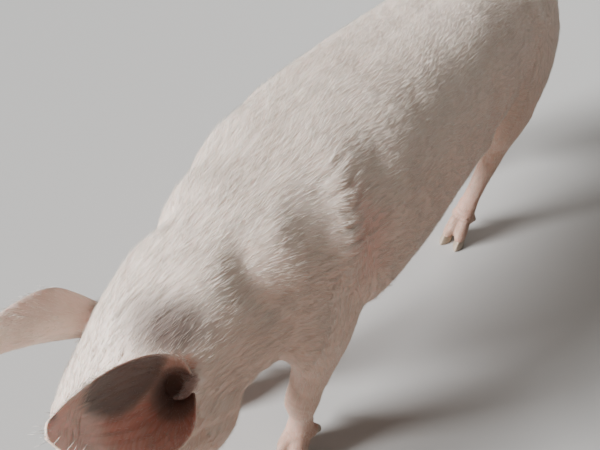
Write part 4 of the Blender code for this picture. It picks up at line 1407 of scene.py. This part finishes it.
# Claw: level rings, round behind and narrowed to a blunt point in front, with low growth rings.
def clawTube(footX, footY, inner):
    levels, sizes, backs = np.array(clawForm["profile"]).T
    height = np.concatenate([levels[:3], np.linspace(levels[3], levels[-1], 26)])[:, None]
    size = np.interp(height, levels, sizes)
    back = np.interp(height, levels, backs)
    c, s = circle(56)
    ringHeight, ringRate = clawForm["rings"]
    size = size * (1 + ringHeight * np.sin(height * ringRate + 1.3 * c))
    x = np.where(c > 0, c, clawForm["blunt"] * c) * clawForm["length"] * 0.5 * size
    y = s * clawForm["width"] * 0.5 * (1 - clawForm["taper"] * np.maximum(c, 0) ** 2) * size
    y = np.where(s * inner < 0, y * clawForm["innerWall"], y)
    lower = ease(height, levels[3], levels[-1]) * clawForm["drop"] * (0.5 - x / clawForm["length"])
    splay = math.radians(clawForm["splay"] * inner)
    px = x * math.cos(splay) - y * math.sin(splay) + footX + clawForm["ahead"] + back
    py = x * math.sin(splay) + y * math.cos(splay) + footY + inner * toeForm["spread"]
    return tube(np.stack([px, py, height - lower], -1))


# Dewclaw: circles down a short leaning cone.
def dewclawTube(footX, footY, inner):
    x, y, z = dewclawForm["way"]
    ahead = unit((x, y * inner, z))
    wide = unit(leftward - ahead * ahead[1])
    x, y, z = dewclawForm["root"]
    root = np.array((footX + x, footY + inner * y, z))
    step = np.linspace(0, 1, 22)
    size = np.interp(step, *dewclawForm["profile"]) * dewclawForm["radius"]
    ringHeight, ringRate = dewclawForm["rings"]
    size = size * (1 + ringHeight * np.sin(step * ringRate))
    centre = root + np.outer(step * dewclawForm["length"], ahead)
    return ovalTube(centre, wide, np.cross(wide, ahead), size, size, size * 0.8, 2.0, 28)


# Horn: one piece to a foot, with two claws and two dewclaws.
def buildHorn(made):
    for name, (footX, footY, side) in form["feet"].items():
        parts = []
        for inner in (-1, 1):
            parts += [clawTube(footX, footY, inner), dewclawTube(footX, footY, inner)]
        thing = finishPiece(makeObject("horn" + name[0].upper() + name[1:], *parts), made)
        end = "fore" if "fore" in name else "hind"
        hand = "left" if side > 0 else "right"
        kinds = [(kind, where) for kind in ("claw", "dewclaw") for where in ("inner", "outer")]
        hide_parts(*[f"{end}_{kind}_{hand}_{where}" for kind, where in kinds])


coatForm = {
    "count": 134000,
    "quickShare": 6,
    "perPiece": 19900,
    # length, half width, lift in degrees and density for trunk, head, four legs, two ears and tail
    "length": (0.016, 0.0095, 0.0095, 0.0095, 0.0105, 0.0105, 0.0095, 0.0095, 0.013),
    "width": (0.00018, 0.00016, 0.00017, 0.00017, 0.00018, 0.00018, 0.00015, 0.00015, 0.0002),
    "lift": (4.5, 8, 7, 7, 7, 7, 10, 10, 14),
    "density": (1.0, 1.3, 1.0, 1.0, 1.0, 1.0, 0.8, 0.8, 1.6),
    # bare: past this place on the snout, this near an eye, and under this level
    "bare": (0.302, 0.016, 0.03),
    "inEar": (0.9, 0.25),  # half width of the scoop in radians, and the density there
    "rim": (1.5, 0.25),  # denser and longer along an ear's rim
    # the brush at the tail's tip: row where it starts, density, length
    "brush": (84, 6, 0.026),
    "crest": (0.5, 7),  # longer and higher along the crest
    # how uneven: share of the length and of the width, from and to, and the lift in degrees
    "uneven": ((0.6, 1.3), (0.8, 1.25), 4),
    "swing": (0.5, 0.25, 0.12),  # in radians: broad, fine and loose
    "muzzle": 0.55,  # shorter towards the snout
    "feet": (0.12, 0.62),  # under this level, this length
    "lashes": 34,
    "lashLength": 0.0105,
    "whiskers": 90,
    "whiskerLength": 0.017,
    "whiskerWidth": 0.00022,
}
# Corners 0 to 2 are at the root, 3 to 5 in the middle and 6 at the tip
bladeFaces = (0, 2, 5), (0, 5, 3), (2, 1, 4), (2, 4, 5), (1, 0, 3), (1, 3, 4), (3, 5, 6), (5, 4, 6)
bladeFaces = np.array(bladeFaces + ((4, 3, 6), (0, 1, 2)))
bladeSpots = np.array(((0, 0), (6, 0), (3, 2), (1, 4), (5, 4), (3, 4.8), (3, 6))) / 2000


# Blades: three-sided, through a root, a middle and a tip. The middle and the tip are the root moved
# along the lie of the hair and lifted, the tip by a smaller slope than the middle.
def blades(root, normal, lie, length, width, lift):
    side = unit(np.cross(normal, lie))
    rise = unit(np.cross(lie, side))
    out = np.sin(lift)[:, None] * normal
    flat = np.cos(lift)[:, None] * lie
    middle = root + (flat * 0.55 + out * 0.6) * length[:, None]
    tip = root + (flat + out * 0.74) * length[:, None]
    corner = []
    for place, size in ((root - normal * 0.0006, width[:, None]), (middle, width[:, None] * 0.8)):
        corner += [place + side * size, place - side * size, place + rise * (size * 0.45)]
    return np.stack(corner + [tip], 1)


# One mesh of many blades, each with its patch on the unwrap.
def bladePiece(name, corners, place, shade, facts, made):
    many, each = corners.shape[:2]
    faces = (np.arange(many)[:, None, None] * each + bladeFaces).reshape(-1, 3)
    mesh = bpy.data.meshes.new(name)
    mesh.vertices.add(many * each)
    mesh.loops.add(len(faces) * 3)
    mesh.polygons.add(len(faces))
    mesh.vertices.foreach_set("co", corners.astype(np.float32).ravel())
    mesh.loops.foreach_set("vertex_index", faces.ravel())
    mesh.polygons.foreach_set("loop_start", np.arange(len(faces)) * 3)
    mesh.update(calc_edges=True)
    for key, values in (("shade", shade), ("grime", facts["grime"]), ("shaded", facts["shaded"])):
        saveValues(mesh, key, np.repeat(values, each))
    layer = mesh.uv_layers.new(name="OFBake")
    spots = (place[:, None] + bladeSpots).reshape(-1, 2)
    layer.data.foreach_set("uv", spots[faces.ravel()].astype(np.float32).ravel())
    finishPiece(newObject(name, mesh), made, False)
    return len(faces)


# Where roots lie on the unwrap: along and round their part, scaled into the part's own area.
def unwrapPlace(facts):
    left, low, wide, high = np.array([unwrapAreas[name] for name in allParts])[facts["part"]].T
    ends = np.array([spines[name]["length"][-1] for name in allParts])[facts["part"]]
    u = left + wide * np.clip(facts["along"] / ends, 0, 1)
    return np.stack([u, low + high * (facts["turn"] / (2 * math.pi) + 0.5)], 1)


# A coat value for each part, blended into the trunk's where a leg or the head runs into the trunk.
def coatValue(key, facts, points):
    values = np.array(coatForm[key], float)
    part = facts["part"]
    limb = np.isin(part, legParts)
    fromPoll = facts["local"][:, 0] - 0.4 * facts["local"][:, 2]
    blend = np.where(limb, ease(points[:, 2], 0.27, 0.43), 0)
    blend = np.where(part == headPart, fade(fromPoll, 0.02, 0.12), blend)
    return values[part] * (1 - blend) + values[trunkPart] * blend


# Roots are drawn over the skin's triangles by area and by how thick the coat is there; the hair
# lies the way its part does, swung by smooth and by loose random angles.
def buildCoat(skin, made):
    mesh = skin.data
    mesh.calc_loop_triangles()
    corners = np.empty(len(mesh.loop_triangles) * 3, np.int32)
    mesh.loop_triangles.foreach_get("vertices", corners)
    corners = corners.reshape(-1, 3)
    a, b, c = np.moveaxis(pointsOf(mesh)[corners], 1, 0)
    cross = np.cross(b - a, c - a)
    middle = (a + b + c) / 3
    facts = describe(middle, unit(cross))
    snoutEdge, eyeEdge, floorEdge = coatForm["bare"]
    brushRow, brushDensity, brushLength = coatForm["brush"]
    rimDensity, rimLength = coatForm["rim"]
    bare = (facts["part"] == headPart) & (facts["local"][:, 0] > snoutEdge)
    for side in (-1, 1):
        bare |= lengthOf(middle - eyePoint(side)) < eyeEdge
    bare |= middle[:, 2] < floorEdge
    density = np.where(bare, 0, coatValue("density", facts, middle))
    scoop, share = coatForm["inEar"]
    inScoop = facts["inner"] & (np.abs(facts["swing"]) < scoop)
    density = np.where(inScoop, density * share, density)
    brush = (facts["part"] == tailPart) & (facts["row"] > brushRow)
    density = density * (1 + rimDensity * facts["rim"]) * np.where(brush, brushDensity, 1)
    density *= 0.6 + 0.8 * noise(middle, 0.05, 3.0)
    odds = lengthOf(cross) * density
    count = coatForm["count"] // 1
    picked = chance.choice(len(odds), count, p=odds / odds.sum())
    u, v = chance.random(count), chance.random(count)
    over = u + v > 1
    u, v = np.where(over, 1 - u, u)[:, None], np.where(over, 1 - v, v)[:, None]
    w = 1 - u - v
    root = a[picked] * w + b[picked] * u + c[picked] * v
    corner = normalsOf(mesh)[corners[picked]]
    normal = unit(corner[:, 0] * w + corner[:, 1] * u + corner[:, 2] * v)
    facts = describe(root, normal)
    part = facts["part"]
    side = unit(np.cross(normal, facts["lie"]))
    broad, fine, loose = coatForm["swing"]
    swing = (noise(root, 0.07, 11.0) - 0.5) * broad + (noise(root, 0.02, 4.0) - 0.5) * fine
    swing = swing + chance.normal(0, loose, count)
    lie = unit(facts["lie"] * np.cos(swing)[:, None] + side * np.sin(swing)[:, None])
    lengthSpread, widthSpread, liftSpread = coatForm["uneven"]
    length = coatValue("length", facts, root) * chance.uniform(*lengthSpread, count)
    crest = (part == trunkPart) * ease(normal[:, 2], 0.55, 0.98)
    crestLength, crestLift = coatForm["crest"]
    length *= 1 + crestLength * crest * ease(root[:, 0], -0.5, 0.05)
    shorter = 1 - coatForm["muzzle"] * ease(facts["local"][:, 0], 0.12, 0.3)
    length *= np.where(part == headPart, shorter, 1)
    footLevel, footShare = coatForm["feet"]
    length *= np.where(root[:, 2] < footLevel, footShare, 1)
    length *= 1 + rimLength * facts["rim"]
    lie = unit(lie + 0.5 * facts["rim"][:, None] * normal)
    length = np.where((part == tailPart) & (facts["row"] > brushRow), brushLength, length)
    lift = coatValue("lift", facts, root) + chance.normal(0, liftSpread, count)
    lift += 9 * noise(root, 0.03, 17.0) ** 3 * (part == trunkPart) + crestLift * crest
    width = coatValue("width", facts, root) * chance.uniform(*widthSpread, count)
    tufts = blades(root, normal, lie, length, width, np.radians(np.clip(lift, 4, 45)))
    # hair whiter where painted light lies on the skin and darker where painted shade does, with a
    # random tone
    shade = 0.6 + 0.3 * facts["pale"] - 0.25 * facts["shaded"] + chance.normal(0, 0.1, count)
    shade = np.clip(shade, 0, 1)
    place = unwrapPlace(facts)
    total = 0
    for number, first in enumerate(range(0, count, coatForm["perPiece"])):
        some = slice(first, first + coatForm["perPiece"])
        own = {key: facts[key][some] for key in ("grime", "shaded")}
        name = f"coat{number + 1}"
        total += bladePiece(name, tufts[some], place[some], shade[some], own, made)
    print("coat", count, "tufts", total, "triangles")

    # lashes along the upper lids, and whiskers on the lips and chin
    roots, ways, lengths = [], [], []
    longWay, across = slanted(eyeForm["slant"])
    half = math.radians(eyeForm["opening"] / 2 + 6)
    lashes = coatForm["lashes"]
    for hand in (-1, 1):
        out = hand * headAxes[1]
        edge = math.cos(half) * out + math.sin(half) * across
        reach = eyeForm["radius"] + 0.0024
        for turn in np.linspace(-1.0, 1.0, lashes) + chance.normal(0, 0.02, lashes):
            spot = math.cos(turn) * edge + math.sin(turn) * longWay
            roots.append(eyePoint(hand) + reach * spot)
            sweep = 0.55 * turn + chance.normal(0, 0.08)
            ways.append(out * 0.85 + across * 0.75 + longWay * sweep)
            lengths.append(coatForm["lashLength"] * chance.uniform(0.75, 1.15))
    tree = treeOf(skin)
    for i in range(coatForm["whiskers"]):
        hand = 1 if i % 2 else -1
        start = headPoint(chance.uniform(0.2, 0.298), hand * 0.2, chance.uniform(-0.105, -0.05))
        spot, facing = skinHit(tree, start, headAxes[1] * -hand)
        if spot is not None:
            roots.append(spot)
            ways.append(facing + headAxes[0] * -0.3 + chance.normal(0, 0.3, 3))
            lengths.append(coatForm["whiskerLength"] * chance.uniform(0.6, 1.2))
    roots, ways, lengths = np.array(roots), unit(ways), np.array(lengths)
    normal = unit(np.cross(ways, unit(ways + (0.3, 0.2, 0.5))))
    facts = describe(roots, normal)
    width, lift, shade = [np.full(len(roots), v) for v in (coatForm["whiskerWidth"], 0.12, 0.95)]
    tufts = blades(roots, normal, ways, lengths, width, lift)
    bladePiece("lashes", tufts, unwrapPlace(facts), shade, facts, made)


skin = buildSkin()
facts = describe(pointsOf(skin.data), normalsOf(skin.data))
for name in marks:
    saveValues(skin.data, name, facts[name])
# along and round the part in metres, apart for each part, for the streaks of hair
flow = skin.data.attributes.new("flow", "FLOAT_VECTOR", "POINT")
flowValues = np.stack([facts["along"], facts["turn"] * facts["radius"], facts["part"] * 3.7], 1)
flow.data.foreach_set("vector", flowValues.astype(np.float32).ravel())
print("skin described")

buildCoat(skin, hairMaterial())
finishPiece(skin, skinMaterial())
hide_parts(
    "torso",
    "neck",
    "head",
    "tail",
    "ear_left",
    "ear_right",
    "fore_leg_left",
    "fore_leg_right",
    "hind_leg_left",
    "hind_leg_right",
)
buildEyes(eyeMaterial())
buildSnout(snoutMaterial())
buildHorn(hornMaterial())
print("pieces made")


stageForm = {
    "floor": (0.5, 0.49, 0.475, 1),
    "floorReach": 60,
    "sky": 0.15,
    "skyColour": (0.93, 0.91, 0.88, 1),
    # kind, place, target, strength, size (an angle for the sun) and colour
    "key": ("SUN", (3.5, -2.3, 2.3), (0.3, 0, 0.42), 10.0, 0.36, (0.97, 0.985, 1.0)),
    "fill": ("AREA", (1.2, 2.0, 1.3), (0.1, 0, 0.35), 4, 1.6, (1.0, 0.8, 0.64)),
    "rim": ("AREA", (-2.0, -0.6, 1.8), (-0.3, 0, 0.5), 12, 1.2, (1.0, 0.97, 0.93)),
}
cameraForm = {
    "place": (0.4175, 0.329, 1.038),
    "focal": 607.9,  # in pixels of a picture this wide
    "pixels": 600,
    "azimuth": 32.345,
    "pitch": 45.3,
    "roll": -2.61,
}


# A sun or a round lamp, turned so that it shines along the line from its place to its target.
def lamp(name, kind, place, target, strength, size, colour):
    data = bpy.data.lights.new(name, kind)
    data.energy = strength
    data.color = colour
    if kind == "SUN":
        data.angle = size
    else:
        data.shape = "DISK"
        data.size = size
    made = newObject(name, data)
    made.location = place
    made.rotation_euler = (Vector(target) - Vector(place)).to_track_quat("-Z", "Y").to_euler()


# Stage: a wide flat floor, a plain sky and three lamps.
def setStage():
    mesh = bpy.data.meshes.new("floor")
    far = stageForm["floorReach"]
    corners = [(-far, -far, 0), (far, -far, 0), (far, far, 0), (-far, far, 0)]
    mesh.from_pydata(corners, [], [(0, 1, 2, 3)])
    floor = newObject("floor", mesh)
    paint = {"Base Color": stageForm["floor"], "Roughness": 0.8}
    mesh.materials.append(Graph("floorPaint").finish(paint))
    world = bpy.data.worlds.new("studio")
    bpy.context.scene.world = world
    world.use_nodes = True
    background = world.node_tree.nodes["Background"]
    background.inputs["Color"].default_value = stageForm["skyColour"]
    background.inputs["Strength"].default_value = stageForm["sky"]
    for name in ("key", "fill", "rim"):
        lamp(name, *stageForm[name])


# The camera looks down by the pitch, towards the azimuth, and is rolled about its own axis.
def setCamera():
    azimuth, down, turn = [math.radians(cameraForm[key]) for key in ("azimuth", "pitch", "roll")]
    level = Vector((-math.cos(azimuth), -math.sin(azimuth), 0))
    ahead = level * math.cos(down) - Vector((0, 0, 1)) * math.sin(down)
    right = ahead.cross(Vector((0, 0, 1))).normalized()
    below = ahead.cross(right).normalized()
    turned = right * math.cos(turn) + below * math.sin(turn)
    above = -(below * math.cos(turn) - right * math.sin(turn))
    data = bpy.data.cameras.new("camera")
    data.sensor_width = 36
    data.lens = cameraForm["focal"] / cameraForm["pixels"] * data.sensor_width
    data.clip_start = 0.01
    made = newObject("camera", data)
    matrix = Matrix((turned, above, -ahead)).transposed().to_4x4()
    matrix.translation = Vector(shift) + Vector(cameraForm["place"])
    made.matrix_world = matrix
    bpy.context.scene.camera = made


setStage()
setCamera()
print("stage set")
